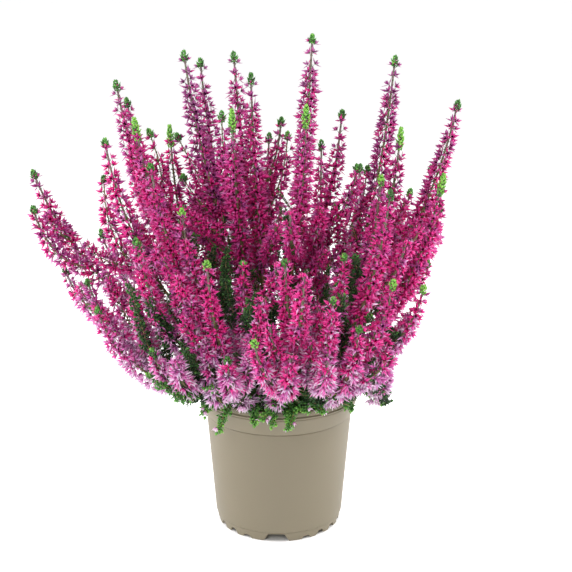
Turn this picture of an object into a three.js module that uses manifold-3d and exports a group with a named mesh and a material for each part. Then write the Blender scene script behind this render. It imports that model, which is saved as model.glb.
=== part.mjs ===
// Heather in a nursery pot: a ribbed-foot plastic pot, the peat in it, seven rooted cuttings that
// fork into leafy branches, and a flower raceme seated on the end of each branch.
// Millimetres, +Z up. The origin is the middle of the pot's base, on the surface that it stands on.

import * as THREE from 'three';
import { mergeVertices } from 'three/addons/utils/BufferGeometryUtils.js';
import Module from 'manifold-3d';

const wasm = await Module();
wasm.setup();

// ---- Driving dimensions ----

const seatGap = 0.3; // between pieces that rest on or in each other
const shortestEdge = 0.02; // slivers left by a join are folded away below this

const pot = {
  sides: 32,
  height: 115,
  rimRadius: 65,
  lipRadius: 64.6,
  beadHeight: 109.5, // the thin bead under the lip
  bandFoot: 94, // where the flared rim band starts
  bandRadius: 59.4,
  bodyTop: 58.2,
  bodyFoot: 51.8,
  footHeight: 7.8,
  footRadius: 50,
  footWidth: 1.9,
  wall: 1.3,
  floor: 6, // underside of the raised floor
  floorWall: 1.5,
  padRadius: 13, // flat pad in the middle of the floor that also stands on the surface
};

// Openings in the foot, the same in each third of it: turn in degrees, width, height
const footRing = {
  thirds: 3,
  turn: -92.3, // of the first wide opening, from +X
  arches: [
    [0, 18, 6.8],
    [28, 6, 2.8],
    [44, 6, 4.4],
    [60, 6, 4.4],
    [76, 6, 4.4],
    [92, 6, 2.8],
  ],
  topShare: 0.72, // width of an opening's top over its width at the surface
};

const drain = { count: 6, radius: 5, ring: 34, sides: 8 };

const peat = { edge: 101.5, crown: 104, roughness: 0.7 };

const trunk = { radius: 2.4, tipRadius: 1.9, sides: 6, root: 78, fork: 119, lean: 7 };

// The surface of a branch or raceme is a tube of rings; in each ring every third corner is drawn
// out into a leaf or floret tip, and the next ring is turned half a step.
const leafy = {
  sides: 3,
  ringGap: 12,
  bareRings: 2,
  core: 1.5,
  endCore: 1.3,
  reach: 4.6,
  lift: 5,
  twist: 33,
  point: 6, // of a sprig that ends without a flower
};
const bloom = {
  sides: 6,
  ringGap: 8.2,
  bareRings: 1,
  core: 3,
  topCore: 1.5,
  reach: 8.6,
  fullTo: 0.45, // share of the raceme from which it narrows to its top
  topReach: 5.4,
  lift: 4.2,
  twist: 21,
};
const bud = { length: 11, radius: 3.1 };

const inBloom = { bareStem: 42, bareBranch: 22, longest: 132 }; // bare lengths, and the longest in bloom

// How far stems keep from each other, and how they are bent clear
const spread = { clearance: 1.5, rounds: 90, weight: [0.55, 1, 0.4], samples: 34, overRim: 1.2 };

// Each cutting: foot is where its trunk stands in the peat (x, y). A bough is one flowering stem from
// the trunk's fork and those that branch off it, each given by its tip (x, y, z, and the length in
// bloom where it isn't the usual one). Sides are short racemes that leave another one (its place in
// the boughs, the share of its bloom below the branching, x, y, z). Sprigs end without a flower
// (x, y, z, and how far from upright they leave and end, in degrees).
const cuttings = {
  middle: {
    foot: [0, 4],
    boughs: [
      [[-72, 5, 379], [-62, 40, 371], [-35, -25, 340]],
      [[-35, 25, 377], [-21, -5, 363, 160]],
      [[25, 0, 391], [20, -35, 344], [49, 15, 333]],
    ],
    sides: [
      [7, 0.25, 59, -18, 296],
      [3, 0.05, 2, 36, 325],
      [6, 0.08, 8, -64, 268],
    ],
    sprigs: [],
  },
  left: {
    foot: [-34, 2],
    boughs: [
      [[-190, 0, 289], [-170, 5, 210]],
      [[-124, 5, 357], [-128, -35, 318]],
      [[-121, 40, 340], [-86, 25, 322]],
      [[-108, -20, 333]],
    ],
    sides: [
      [0, 0.3, -184, -32, 267],
      [4, 0.2, -122, 62, 283],
    ],
    sprigs: [[-97, -4, 118, 70, 92]],
  },
  frontLeft: {
    foot: [-21, -30],
    boughs: [
      [[-144, -45, 214], [-133, -70, 199]],
      [[-103, -70, 251], [-91, -95, 176]],
      [[-94, -45, 301], [-71, -55, 270]],
      [[-51, -90, 239], [-36, -115, 176]],
      [[-26, -70, 233]],
    ],
    sides: [
      [8, 0.1, -10, -108, 212],
      [8, 0.4, -2, -78, 232],
      [6, 0.1, -68, -84, 196],
      [3, 0.15, -72, -104, 172],
      [4, 0.1, -74, -68, 216],
    ],
    sprigs: [
      [-46, -73, 98, 52, 165],
      [-62, -47, 102, 58, 150],
    ],
  },
  frontRight: {
    foot: [20, -31],
    boughs: [
      [[4, -100, 242], [-16, -128, 194]],
      [[47, -75, 240], [79, -75, 287]],
      [[37, -120, 220], [56, -108, 196]],
      [[81, -95, 227]],
    ],
    sides: [
      [0, 0.3, 17, -126, 238],
      [0, 0.1, -8, -112, 200],
      [1, 0.1, 8, -126, 180],
      [5, 0.1, 74, -74, 188],
      [4, 0.05, 33, -126, 178],
      [2, 0.1, 28, -84, 204],
    ],
    sprigs: [
      [-16, -80, 110, 62, 128],
      [6, -84, 104, 58, 140],
      [34, -72, 113, 60, 112],
    ],
  },
  right: {
    foot: [35, -2],
    boughs: [
      [[137, 5, 342], [122, 30, 288]],
      [[90, 25, 374], [93, -5, 324]],
      [[124, -25, 292], [107, -60, 213]],
      [[75, -45, 293]],
    ],
    sides: [
      [6, 0.25, 92, -62, 246],
      [3, 0.1, 117, -12, 240],
      [1, 0.25, 134, 58, 230],
      [5, 0.1, 98, -32, 182],
      [3, 0.1, 70, -12, 222],
    ],
    sprigs: [[86, -42, 112, 66, 104]],
  },
  backRight: {
    foot: [21, 31],
    boughs: [
      [[71, 110, 276], [36, 90, 300]],
      [[111, 75, 261], [95, 125, 206]],
      [[19, 145, 248], [48, 158, 182]],
    ],
    sides: [
      [3, 0.1, 68, 126, 186],
      [2, 0.1, 96, 62, 196],
    ],
    sprigs: [[66, 74, 112, 62, 108]],
  },
  backLeft: {
    foot: [-21, 31],
    boughs: [
      [[-110, 80, 281], [-151, 70, 227]],
      [[-64, 105, 290], [-90, 140, 221]],
      [[-15, 130, 269], [-36, 160, 188]],
      [[-8, 60, 310]],
    ],
    sides: [
      [6, 0.3, -38, 84, 286],
      [3, 0.1, -58, 120, 190],
    ],
    sprigs: [[-70, 72, 111, 62, 110]],
  },
};
const forkShare = 0.5; // of a bough's bare length, where its branches leave it

// How a stem leaves its trunk and how it ends, as shares of its own lean. A short stem bends more.
const bend = { leave: 1.3, leaveShort: 1.9, arrive: 0.45, arriveShort: 0.25, most: 82, handle: 0.37 };
const stemLengths = { short: 130, tall: 230 };

// ---- Materials ----

const plastic = new THREE.MeshStandardMaterial({ color: 0xa59b88, roughness: 0.6, metalness: 0 });
const soilBrown = new THREE.MeshStandardMaterial({ color: 0x2b1d14, roughness: 0.95, metalness: 0 });
const leafGreen = new THREE.MeshStandardMaterial({ color: 0x3c6a2e, roughness: 0.7, metalness: 0 });
const petalDeep = new THREE.MeshStandardMaterial({ color: 0xb4207a, roughness: 0.6, metalness: 0 });
const petalPink = new THREE.MeshStandardMaterial({ color: 0xd0358f, roughness: 0.6, metalness: 0 });
const petalPale = new THREE.MeshStandardMaterial({ color: 0xe18cc8, roughness: 0.6, metalness: 0 });
const petalHeights = { deep: 300, pink: 225 }; // tips above these are deep or pink, the rest pale

// ---- Solids ----

function toSolid(geometry) {
  geometry.deleteAttribute('normal');
  geometry.deleteAttribute('uv');
  const merged = mergeVertices(geometry, 1e-4);
  const mesh = new wasm.Mesh({
    numProp: 3,
    vertProperties: new Float32Array(merged.attributes.position.array),
    triVerts: new Uint32Array(merged.index.array),
  });
  return new wasm.Manifold(mesh);
}

function toGeometry(solid) {
  const mesh = solid.simplify(shortestEdge).getMesh();
  const geometry = new THREE.BufferGeometry();
  geometry.setAttribute('position', new THREE.BufferAttribute(new Float32Array(mesh.vertProperties), 3));
  geometry.setIndex(new THREE.BufferAttribute(new Uint32Array(mesh.triVerts), 1));
  geometry.computeVertexNormals();
  return geometry;
}

function geometryFrom(corners, faces) {
  const numbers = corners.flatMap((corner) => corner.toArray());
  const geometry = new THREE.BufferGeometry();
  geometry.setAttribute('position', new THREE.Float32BufferAttribute(numbers, 3));
  geometry.setIndex(faces.flat());
  geometry.computeVertexNormals();
  return geometry;
}

// A profile of radius and height, turned about Z
function lathe(profile, sides) {
  const outline = profile.map(([radius, height]) => new THREE.Vector2(radius, height));
  return new THREE.LatheGeometry(outline, sides).rotateX(Math.PI / 2);
}

// ---- Stems ----

// A curve in the upright plane through both ends, from angles measured from upright
function arch(start, tip, leave, arrive) {
  const out = new THREE.Vector3(tip.x - start.x, tip.y - start.y, 0).normalize();
  const handle = start.distanceTo(tip) * bend.handle;
  const heading = (angle) => out.clone().multiplyScalar(Math.sin(angle)).setZ(Math.cos(angle));
  return new THREE.CubicBezierCurve3(
    start,
    start.clone().addScaledVector(heading(leave), handle),
    tip.clone().addScaledVector(heading(arrive), -handle),
    tip,
  );
}

// The angles from upright at which a flowering stem leaves its fork and ends
function leansOf(start, tip) {
  const lean = Math.atan2(Math.hypot(tip.x - start.x, tip.y - start.y), tip.z - start.z);
  const tall = THREE.MathUtils.smoothstep(start.distanceTo(tip), stemLengths.short, stemLengths.tall);
  const leave = lean * THREE.MathUtils.lerp(bend.leaveShort, bend.leave, tall);
  const arrive = lean * THREE.MathUtils.lerp(bend.arriveShort, bend.arrive, tall);
  return [Math.min(leave, THREE.MathUtils.degToRad(bend.most)), arrive];
}

function forkOf([x, y]) {
  const out = Math.hypot(x, y);
  return new THREE.Vector3(x + (trunk.lean * x) / out, y + (trunk.lean * y) / out, trunk.fork);
}

function lengthOf(points) {
  return points.slice(1).reduce((sum, point, i) => sum + point.distanceTo(points[i]), 0);
}

// The stem as sample points, with the radius that it needs at each and the node it belongs to
function stemOf(name, cutting, start, tip, leans, bloomLength, follows = null) {
  const rest = arch(start, tip, ...leans).getPoints(spread.samples);
  const length = lengthOf(rest);
  let along = 0;
  const samples = rest.map((point, i) => {
    along += i ? point.distanceTo(rest[i - 1]) : 0;
    const flowering = length - along < bloomLength + 2;
    return {
      rest: point.clone(),
      at: point.clone(),
      shift: new THREE.Vector3(),
      radius: flowering ? bloom.reach : leafy.reach,
      node: flowering ? name : cutting,
    };
  });
  return { name, cutting, samples, bloomLength, follows };
}

// The sample of a stem that lies this far along it
function sampleAt(stem, distance) {
  const points = stem.samples.map((sample) => sample.rest);
  let index = 0;
  while (index < spread.samples - 1 && lengthOf(points.slice(0, index + 2)) < distance) index += 1;
  return index;
}

function restLength(stem) {
  return lengthOf(stem.samples.map((sample) => sample.rest));
}

function growStems() {
  const stems = [];
  for (const [cutting, { foot, boughs, sides, sprigs }] of Object.entries(cuttings)) {
    const fork = forkOf(foot);
    const racemes = [];
    for (const bough of boughs) {
      let first = null;
      for (const [x, y, z, given] of bough) {
        const from = first ? sampleAt(first, (restLength(first) - first.bloomLength) * forkShare) : 0;
        const start = first ? first.samples[from].rest : fork;
        const tip = new THREE.Vector3(x, y, z);
        const bare = first ? inBloom.bareBranch : inBloom.bareStem;
        const usual = Math.min(inBloom.longest, start.distanceTo(tip) - bare);
        const name = `raceme_${cutting}_${racemes.length + 1}`;
        const follows = first && { main: first, from, fused: false };
        racemes.push(stemOf(name, cutting, start, tip, leansOf(start, tip), given ?? usual, follows));
        first ??= racemes.at(-1);
      }
    }
    stems.push(...racemes);
    for (const [index, share, x, y, z] of sides) {
      const main = racemes[index];
      const from = sampleAt(main, restLength(main) - main.bloomLength * (1 - share)) + 1;
      const start = main.samples[from].rest;
      const tip = new THREE.Vector3(x, y, z);
      const follows = { main, from, fused: true };
      stems.push(stemOf(main.name, main.name, start, tip, leansOf(start, tip), Infinity, follows));
    }
    for (const [x, y, z, leave, arrive] of sprigs) {
      const tip = new THREE.Vector3(x, y, z);
      const leans = [leave, arrive].map(THREE.MathUtils.degToRad);
      stems.push(stemOf(`sprig_${cutting}`, cutting, fork, tip, leans, 0));
    }
  }
  return stems;
}

// The lowest that a stem of this radius may run: over the peat inside the pot, over the rim at its edge
function lowest(point, radius) {
  const out = Math.hypot(point.x, point.y);
  if (out < pot.bandRadius - radius - spread.overRim) return peat.crown + radius;
  if (out < pot.rimRadius + radius) return pot.height + spread.overRim + radius;
  return -Infinity;
}

// Bends the stems clear of each other and of the pot, most of it in depth, and keeps them smooth
function bendClear(stems) {
  const gap = new THREE.Vector3();
  const weight = new THREE.Vector3(...spread.weight);
  for (let round = 0; round < spread.rounds; round += 1) {
    const pushes = stems.map((stem) => stem.samples.map(() => ({ sum: new THREE.Vector3(), count: 0 })));
    for (let a = 0; a < stems.length; a += 1) {
      for (let b = a + 1; b < stems.length; b += 1) {
        if (stems[b].follows?.fused && stems[b].follows.main === stems[a]) continue;
        stems[a].samples.forEach((one, i) => {
          stems[b].samples.forEach((other, j) => {
            if (one.node === other.node) return;
            const need = one.radius + other.radius + spread.clearance;
            gap.subVectors(one.at, other.at);
            const distance = gap.length();
            if (distance >= need) return;
            gap.multiplyScalar((need - distance) / (2 * Math.max(distance, 0.1))).multiply(weight);
            pushes[a][i].sum.add(gap);
            pushes[a][i].count += 1;
            pushes[b][j].sum.sub(gap);
            pushes[b][j].count += 1;
          });
        });
      }
    }
    stems.forEach((stem, s) => {
      const { samples, follows } = stem;
      samples.forEach((sample, i) => {
        const push = pushes[s][i];
        if (push.count) sample.shift.addScaledVector(push.sum, 1 / push.count);
        sample.shift.z += Math.max(0, Math.min(4, lowest(sample.at, sample.radius) - sample.at.z)) * 0.5;
      });
      const base = follows ? follows.main.samples[follows.from].shift : new THREE.Vector3();
      const before = samples.map((sample) => sample.shift.clone());
      samples.forEach((sample, i) => {
        const below = before[Math.max(i - 1, 0)];
        const above = before[Math.min(i + 1, before.length - 1)];
        sample.shift.multiplyScalar(2).add(below).add(above).divideScalar(4);
        if (i < 2) sample.shift.copy(base);
        sample.at.addVectors(sample.rest, sample.shift);
      });
    });
  }
}

// One ring of corners round a point of a stem. Every third corner is a leaf or floret tip, and the
// choice moves on from ring to ring, so that the tips stand in a spiral with low corners all round.
function ringAt(stem, along, ring, form, radius, tipRadius) {
  const share = along / stem.curve.getLength();
  const centre = stem.curve.getPointAt(share);
  const ahead = stem.curve.getTangentAt(share);
  const side = stem.across.clone().addScaledVector(ahead, -stem.across.dot(ahead)).normalize();
  const up = new THREE.Vector3().crossVectors(ahead, side);
  const step = (2 * Math.PI) / form.sides;
  const turn = ((ring % 2) / 2) * step + THREE.MathUtils.degToRad(form.twist) * ring;
  return Array.from({ length: form.sides }, (_, corner) => {
    const drawnOut = tipRadius > 0 && (corner - Math.floor(ring / 2) - ring) % 3 === 0;
    const reach = drawnOut ? tipRadius : radius;
    const angle = corner * step + turn;
    return centre
      .clone()
      .addScaledVector(side, reach * Math.cos(angle))
      .addScaledVector(up, reach * Math.sin(angle))
      .addScaledVector(ahead, drawnOut ? form.lift : 0);
  });
}

// The faces of a tube of rings that starts flat and ends flat or, if pointed, at one more corner
function tubeFaces(rings, sides, pointed) {
  const at = (ring, corner) => ring * sides + (corner % sides);
  const faces = [];
  for (let ring = 0; ring < rings; ring += 1) {
    for (let corner = 0; corner < sides; corner += 1) {
      const near = [at(ring, corner), at(ring, corner + 1)];
      const far = [at(ring + 1, corner), at(ring + 1, corner + 1)];
      if (ring % 2 === 0) faces.push([near[0], near[1], far[0]], [near[1], far[1], far[0]]);
      else faces.push([near[0], far[1], far[0]], [near[0], near[1], far[1]]);
    }
  }
  for (let corner = 1; corner < sides - 1; corner += 1) {
    faces.push([at(0, 0), at(0, corner + 1), at(0, corner)]);
    if (!pointed) faces.push([at(rings, 0), at(rings, corner), at(rings, corner + 1)]);
  }
  for (let corner = 0; pointed && corner < sides; corner += 1) {
    faces.push([at(rings, corner), at(rings, corner + 1), (rings + 1) * sides]);
  }
  return faces;
}

// A tube along a stem between two distances, closed flat or with a point of this length
function scaledTube(stem, from, to, form, coreAt, reachAt, pointLength) {
  const ringsEnd = to - pointLength;
  const rings = Math.max(2, Math.round((ringsEnd - from) / form.ringGap));
  const corners = [];
  for (let ring = 0; ring <= rings; ring += 1) {
    const share = ring / rings;
    const tipRadius = ring >= form.bareRings && ring < rings ? reachAt(share) : 0;
    const along = from + (ringsEnd - from) * share;
    corners.push(...ringAt(stem, along, ring, form, coreAt(share), tipRadius));
  }
  if (pointLength) corners.push(stem.curve.getPointAt(1));
  return toSolid(geometryFrom(corners, tubeFaces(rings, form.sides, pointLength > 0)));
}

// A leafy branch from its fork to where its raceme is seated, or to its tip
function makeBranch(stem) {
  const length = stem.curve.getLength();
  const flowers = stem.bloomLength > 0;
  const to = flowers ? length - stem.bloomLength - seatGap / 2 : length;
  const coreAt = (share) => THREE.MathUtils.lerp(leafy.core, leafy.endCore, share);
  return scaledTube(stem, 0, to, leafy, coreAt, () => leafy.reach, flowers ? 0 : leafy.point);
}

// A raceme: a stub that meets the branch, the florets, and the bud at its tip
function makeRaceme(stem) {
  const length = stem.curve.getLength();
  const from = stem.follows?.fused ? 0 : length - stem.bloomLength + seatGap / 2;
  const coreAt = (share) => {
    if (share === 0) return leafy.endCore;
    return share === 1 ? bud.radius : THREE.MathUtils.lerp(bloom.core, bloom.topCore, share);
  };
  const reachAt = (share) => {
    const narrowing = Math.max(0, share - bloom.fullTo) / (1 - bloom.fullTo);
    return THREE.MathUtils.lerp(bloom.reach, bloom.topReach, narrowing);
  };
  return scaledTube(stem, from, length, bloom, coreAt, reachAt, bud.length);
}

// ---- Pieces ----

function makePot() {
  const { wall, footHeight, footRadius, footWidth, floor, floorWall, padRadius } = pot;
  const padFoot = padRadius + 4;
  const bandInner = pot.bandRadius - wall - 0.9;
  const profile = [
    [0, 0],
    [padRadius, 0],
    [padFoot, floor],
    [footRadius - footWidth - 0.4, floor],
    [footRadius - footWidth, 0],
    [footRadius, 0],
    [pot.bodyFoot, footHeight],
    [pot.bodyTop, pot.bandFoot - 0.5],
    [pot.bandRadius, pot.bandFoot],
    [pot.rimRadius, pot.beadHeight],
    [pot.lipRadius, pot.beadHeight + 1],
    [pot.lipRadius, pot.height],
    [pot.lipRadius - wall - 0.3, pot.height],
    [bandInner, pot.bandFoot + 1],
    [pot.bodyFoot - wall, floor + floorWall],
    [padFoot + 0.6, floor + floorWall],
    [padRadius + 0.6, floorWall],
    [0, floorWall],
  ];
  let solid = toSolid(lathe(profile, pot.sides));
  for (let third = 0; third < footRing.thirds; third += 1) {
    for (const [turn, width, height] of footRing.arches) {
      const around = footRing.turn + (360 / footRing.thirds) * third + turn;
      const angle = THREE.MathUtils.degToRad(around);
      solid = solid.subtract(footArch(angle, width, height));
    }
  }
  for (let hole = 0; hole < drain.count; hole += 1) {
    const angle = ((hole + 0.5) / drain.count) * 2 * Math.PI;
    const cutter = new THREE.CylinderGeometry(drain.radius, drain.radius, 10, drain.sides)
      .rotateX(Math.PI / 2)
      .translate(drain.ring * Math.cos(angle), drain.ring * Math.sin(angle), floor);
    solid = solid.subtract(toSolid(cutter));
  }
  return solid;
}

// A tapered opening through the foot ring, wider at the surface than at its top
function footArch(angle, width, height) {
  const topWidth = width * footRing.topShare;
  const outline = new THREE.Shape([
    new THREE.Vector2(-width / 2, -1),
    new THREE.Vector2(width / 2, -1),
    new THREE.Vector2(topWidth / 2, height),
    new THREE.Vector2(-topWidth / 2, height),
  ]);
  const depth = 8;
  const cutter = new THREE.ExtrudeGeometry(outline, { depth, bevelEnabled: false })
    .rotateX(Math.PI / 2)
    .rotateZ(Math.PI / 2)
    .translate(pot.footRadius - depth / 2, 0, 0)
    .rotateZ(angle);
  return toSolid(cutter);
}

// The peat fills the pot to just under its band, with its crumbled top rising to the middle
function makePeat() {
  const { wall, floor, floorWall, padRadius } = pot;
  const inside = (height) => {
    const share = (height - floor - floorWall) / (pot.bandFoot + 1 - floor - floorWall);
    const foot = pot.bodyFoot - wall;
    const top = pot.bandRadius - wall - 0.9;
    return foot + (top - foot) * share - seatGap - 0.05;
  };
  const profile = [
    [0, floorWall + seatGap],
    [padRadius + 0.2, floorWall + seatGap],
    [padRadius + 4.2, floor + floorWall + seatGap],
    [inside(floor + floorWall + seatGap), floor + floorWall + seatGap],
    [inside(pot.bandFoot), pot.bandFoot],
    [inside(pot.bandFoot) + 1.2, peat.edge - 1],
    [46, peat.edge + 0.6],
    [26, peat.crown - 1],
    [0, peat.crown],
  ];
  const geometry = lathe(profile, pot.sides);
  const position = geometry.attributes.position;
  for (let i = 0; i < position.count; i += 1) {
    const [x, y, z] = [position.getX(i), position.getY(i), position.getZ(i)];
    if (z < peat.edge - 2 || Math.hypot(x, y) > 55) continue;
    position.setZ(i, z + peat.roughness * Math.sin(x * 0.9 + y * 2.1) * Math.cos(y * 1.3 - x * 0.4));
  }
  let solid = toSolid(geometry);
  for (const { foot } of Object.values(cuttings)) {
    const radius = trunk.radius + seatGap;
    solid = solid.subtract(trunkRod(foot, trunk.root - seatGap, peat.crown + 6, radius, radius));
  }
  return solid;
}

// A leaning trunk, or the hole that it stands in, between two heights
function trunkRod(foot, from, to, footRadius, topRadius) {
  const root = new THREE.Vector3(...foot, trunk.root);
  const rise = forkOf(foot).sub(root);
  const at = (height) => root.clone().addScaledVector(rise, (height - trunk.root) / rise.z);
  const [low, high] = [at(from), at(to)];
  const rod = new THREE.CylinderGeometry(topRadius, footRadius, low.distanceTo(high), trunk.sides);
  const upright = new THREE.Vector3(0, 1, 0); // the axis that the cylinder is made about
  rod.applyQuaternion(new THREE.Quaternion().setFromUnitVectors(upright, rise.normalize()));
  return toSolid(rod.translate(...low.add(high).divideScalar(2).toArray()));
}

// Racemes are deepest in colour at the top of the plant and palest low down
function petalOf(stem) {
  const height = stem.samples.at(-1).at.z;
  if (height > petalHeights.deep) return petalDeep;
  return height > petalHeights.pink ? petalPink : petalPale;
}

function addPiece(name, solid, material) {
  const mesh = new THREE.Mesh(toGeometry(solid), material);
  mesh.name = name;
  group.add(mesh);
}

const group = new THREE.Group();
const stems = growStems();
bendClear(stems);
for (const stem of stems) {
  const points = stem.samples.map((sample) => sample.at);
  const out = new THREE.Vector3().subVectors(points.at(-1), points[0]).setZ(0).normalize();
  stem.curve = new THREE.CatmullRomCurve3(points);
  stem.across = new THREE.Vector3(-out.y, out.x, 0); // level, and square to the way that the stem leans
}

addPiece('pot', makePot(), plastic);
addPiece('peat', makePeat(), soilBrown);

for (const [cutting, { foot }] of Object.entries(cuttings)) {
  let bush = trunkRod(foot, trunk.root, trunk.fork, trunk.radius, trunk.tipRadius);
  for (const stem of stems) {
    if (stem.cutting === cutting) bush = bush.add(makeBranch(stem));
  }
  addPiece(`cutting_${cutting}`, bush, leafGreen);
}

for (const stem of stems) {
  if (!stem.bloomLength || stem.follows?.fused) continue;
  let raceme = makeRaceme(stem);
  for (const side of stems) {
    if (side.follows?.fused && side.follows.main === stem) raceme = raceme.add(makeRaceme(side));
  }
  addPiece(stem.name, raceme, petalOf(stem));
}

export default group;
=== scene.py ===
import math
from types import SimpleNamespace

import bmesh
import bpy
import numpy as np
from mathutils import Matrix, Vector


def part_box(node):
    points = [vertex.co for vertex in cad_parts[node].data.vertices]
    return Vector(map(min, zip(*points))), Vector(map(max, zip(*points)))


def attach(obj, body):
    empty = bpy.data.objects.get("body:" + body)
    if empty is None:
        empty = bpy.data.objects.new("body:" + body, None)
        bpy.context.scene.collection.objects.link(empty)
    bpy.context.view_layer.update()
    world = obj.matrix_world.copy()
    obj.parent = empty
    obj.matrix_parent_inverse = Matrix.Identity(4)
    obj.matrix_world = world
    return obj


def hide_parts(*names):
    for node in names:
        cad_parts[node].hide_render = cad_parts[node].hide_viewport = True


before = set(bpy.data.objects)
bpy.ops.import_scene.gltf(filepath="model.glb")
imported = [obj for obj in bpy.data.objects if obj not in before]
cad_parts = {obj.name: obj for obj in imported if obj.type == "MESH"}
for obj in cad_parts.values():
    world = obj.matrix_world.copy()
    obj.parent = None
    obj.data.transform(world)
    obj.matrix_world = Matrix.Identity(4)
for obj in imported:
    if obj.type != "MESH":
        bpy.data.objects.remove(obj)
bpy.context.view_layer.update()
mm = 0.001  # the plan of the plant is in millimetres, the meshes in metres
draw = np.random.default_rng(11)
layout = np.random.default_rng(8)  # where the short racemes stand


# Camera, lights and floor

shot = {
    "place": (0.0, -0.85, 0.428),
    "pitch": 15.2,  # degrees below level
    "focal": 1111,  # pixels
    "frame": 572,  # pixels across
    "shift": 7.1,  # pixels that the pot stands left of the middle
    "sensor": 36.0,
    "farthest": 300.0,
}

studio = {
    "surround": 0.32,
    "aim": (0.0, 0.0, 0.2),
    "panels": {
        "panelLeft": {"place": (-1.2, 0.1, 0.6), "size": 0.9, "power": 13.5},
        "panelRight": {"place": (1.2, 0.15, 0.6), "size": 0.9, "power": 13.5},
        "panelFront": {"place": (-0.35, -1.25, 0.95), "size": 0.6, "power": 6.2},
        "panelTop": {"place": (0.1, 0.0, 1.5), "size": 0.8, "power": 5.0},
    },
    "floorRings": [(8.0, 0.0), (10.0, 0.1), (12.0, 0.35), (14.0, 0.8)],  # out and up: it rises as a cove
    "floorSides": 48,
    "floorTone": "#fbfbfb",
    "floorGlow": 0.69,  # a lit table, so that it stays pale as far as it goes
    "shade": (0.0475, 0.0525),  # except under the pot, where the glow fades out between these radii in metres: a painted shadow under it
}


def linked(item):
    bpy.context.scene.collection.objects.link(item)
    return item


def setCamera():
    camera = linked(bpy.data.objects.new("camera", bpy.data.cameras.new("camera")))
    camera.data.sensor_width = shot["sensor"]
    camera.data.lens = shot["sensor"] * shot["focal"] / shot["frame"]
    camera.data.shift_x = shot["shift"] / shot["frame"]
    camera.data.clip_end = shot["farthest"]
    camera.location = shot["place"]
    camera.rotation_euler = (math.radians(90 - shot["pitch"]), 0.0, 0.0)
    bpy.context.scene.camera = camera


def setLights():
    scene = bpy.context.scene
    scene.view_settings.view_transform = "Standard"
    scene.world = bpy.data.worlds.new("surround")
    scene.world.use_nodes = True
    background = scene.world.node_tree.nodes["Background"]
    background.inputs["Color"].default_value = (1.0, 1.0, 1.0, 1.0)
    background.inputs["Strength"].default_value = studio["surround"]
    for name, panel in studio["panels"].items():
        lamp = bpy.data.lights.new(name, "AREA")
        lamp.shape = "SQUARE"
        lamp.size = panel["size"]
        lamp.energy = panel["power"]
        light = linked(bpy.data.objects.new(name, lamp))
        light.location = panel["place"]
        away = Vector(panel["place"]) - Vector(studio["aim"])
        light.rotation_euler = away.to_track_quat("Z", "Y").to_euler()


# Materials

def tone(code):
    channels = [int(code[i:i + 2], 16) / 255 for i in (1, 3, 5)]
    linear = [c / 12.92 if c <= 0.04045 else ((c + 0.055) / 1.055) ** 2.4 for c in channels]
    return (*linear, 1.0)


class Finish:
    # A material with its Principled surface, and short ways to set it and to add nodes to it
    def __init__(self, name):
        self.material = bpy.data.materials.new(name)
        self.material.use_nodes = True
        self.tree = self.material.node_tree
        self.surface = self.tree.nodes["Principled BSDF"]

    def put(self, socket, value):
        if isinstance(value, bpy.types.NodeSocket):
            self.tree.links.new(value, socket)
        else:
            socket.default_value = value

    def fill(self, node, **inputs):
        for name, value in inputs.items():
            self.put(node.inputs[name.replace("_", " ")], value)
        return node

    def node(self, kind, settings=(), **inputs):
        made = self.tree.nodes.new(kind)
        for name, value in dict(settings).items():
            setattr(made, name, value)
        return self.fill(made, **inputs)

    def place(self):
        return self.node("ShaderNodeTexCoord").outputs["Object"]

    def noise(self, scale, detail):
        made = self.node("ShaderNodeTexNoise", Vector=self.place(), Scale=scale, Detail=detail)
        return made.outputs["Fac"]

    def ramp(self, source, stops):
        made = self.node("ShaderNodeValToRGB", Fac=source)
        elements = made.color_ramp.elements
        elements.remove(elements[1])
        for index, (place, code) in enumerate(stops.items()):
            element = elements[0] if index == 0 else elements.new(place)
            element.position = place
            element.color = tone(code)
        return made.outputs["Color"]

    def mix(self, share, first, second):
        made = self.node("ShaderNodeMix", {"data_type": "RGBA"})
        for index, value in ((0, share), (6, first), (7, second)):  # where its colour sockets are
            self.put(made.inputs[index], value)
        return made.outputs[2]

    def fromTo(self, source, low, high, toLow, toHigh):
        made = self.node("ShaderNodeMapRange", Value=source, From_Min=low, From_Max=high)
        self.fill(made, To_Min=toLow, To_Max=toHigh)
        return made.outputs["Result"]

    def bump(self, height, strength, distance):
        made = self.node("ShaderNodeBump", Height=height, Strength=strength, Distance=distance)
        self.fill(self.surface, Normal=made.outputs["Normal"])


mapName = "OFBake"  # across: the tint of each petal or leaf. Up: from its root to its tip.


def grownFinish(name, look):
    finish = Finish(name)
    place = finish.node("ShaderNodeUVMap", {"uv_map": mapName}).outputs["UV"]
    parts = finish.node("ShaderNodeSeparateXYZ", Vector=place).outputs
    body, tip, root = [finish.ramp(parts["X"], look[stops]) for stops in ("body", "tip", "root")]
    # On the petals the paler tip colours are partly their own pale tips, partly a painted highlight
    toTip = finish.fromTo(parts["Y"], look["tipFrom"], 1.0, 0.0, 1.0)
    # On the petals the darker root colours are painted shade at the heart of each floret
    toRoot = finish.fromTo(parts["Y"], 0.0, look["rootTo"], 1.0, 0.0)
    finish.fill(
        finish.surface,
        Base_Color=finish.mix(toRoot, finish.mix(toTip, body, tip), root),
        Roughness=finish.fromTo(parts["Y"], 0.0, 1.0, *look["roughness"]),
        Sheen_Weight=look["sheen"],
        Sheen_Roughness=0.4,
        Specular_IOR_Level=look["gloss"],
    )
    return finish.material


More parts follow.
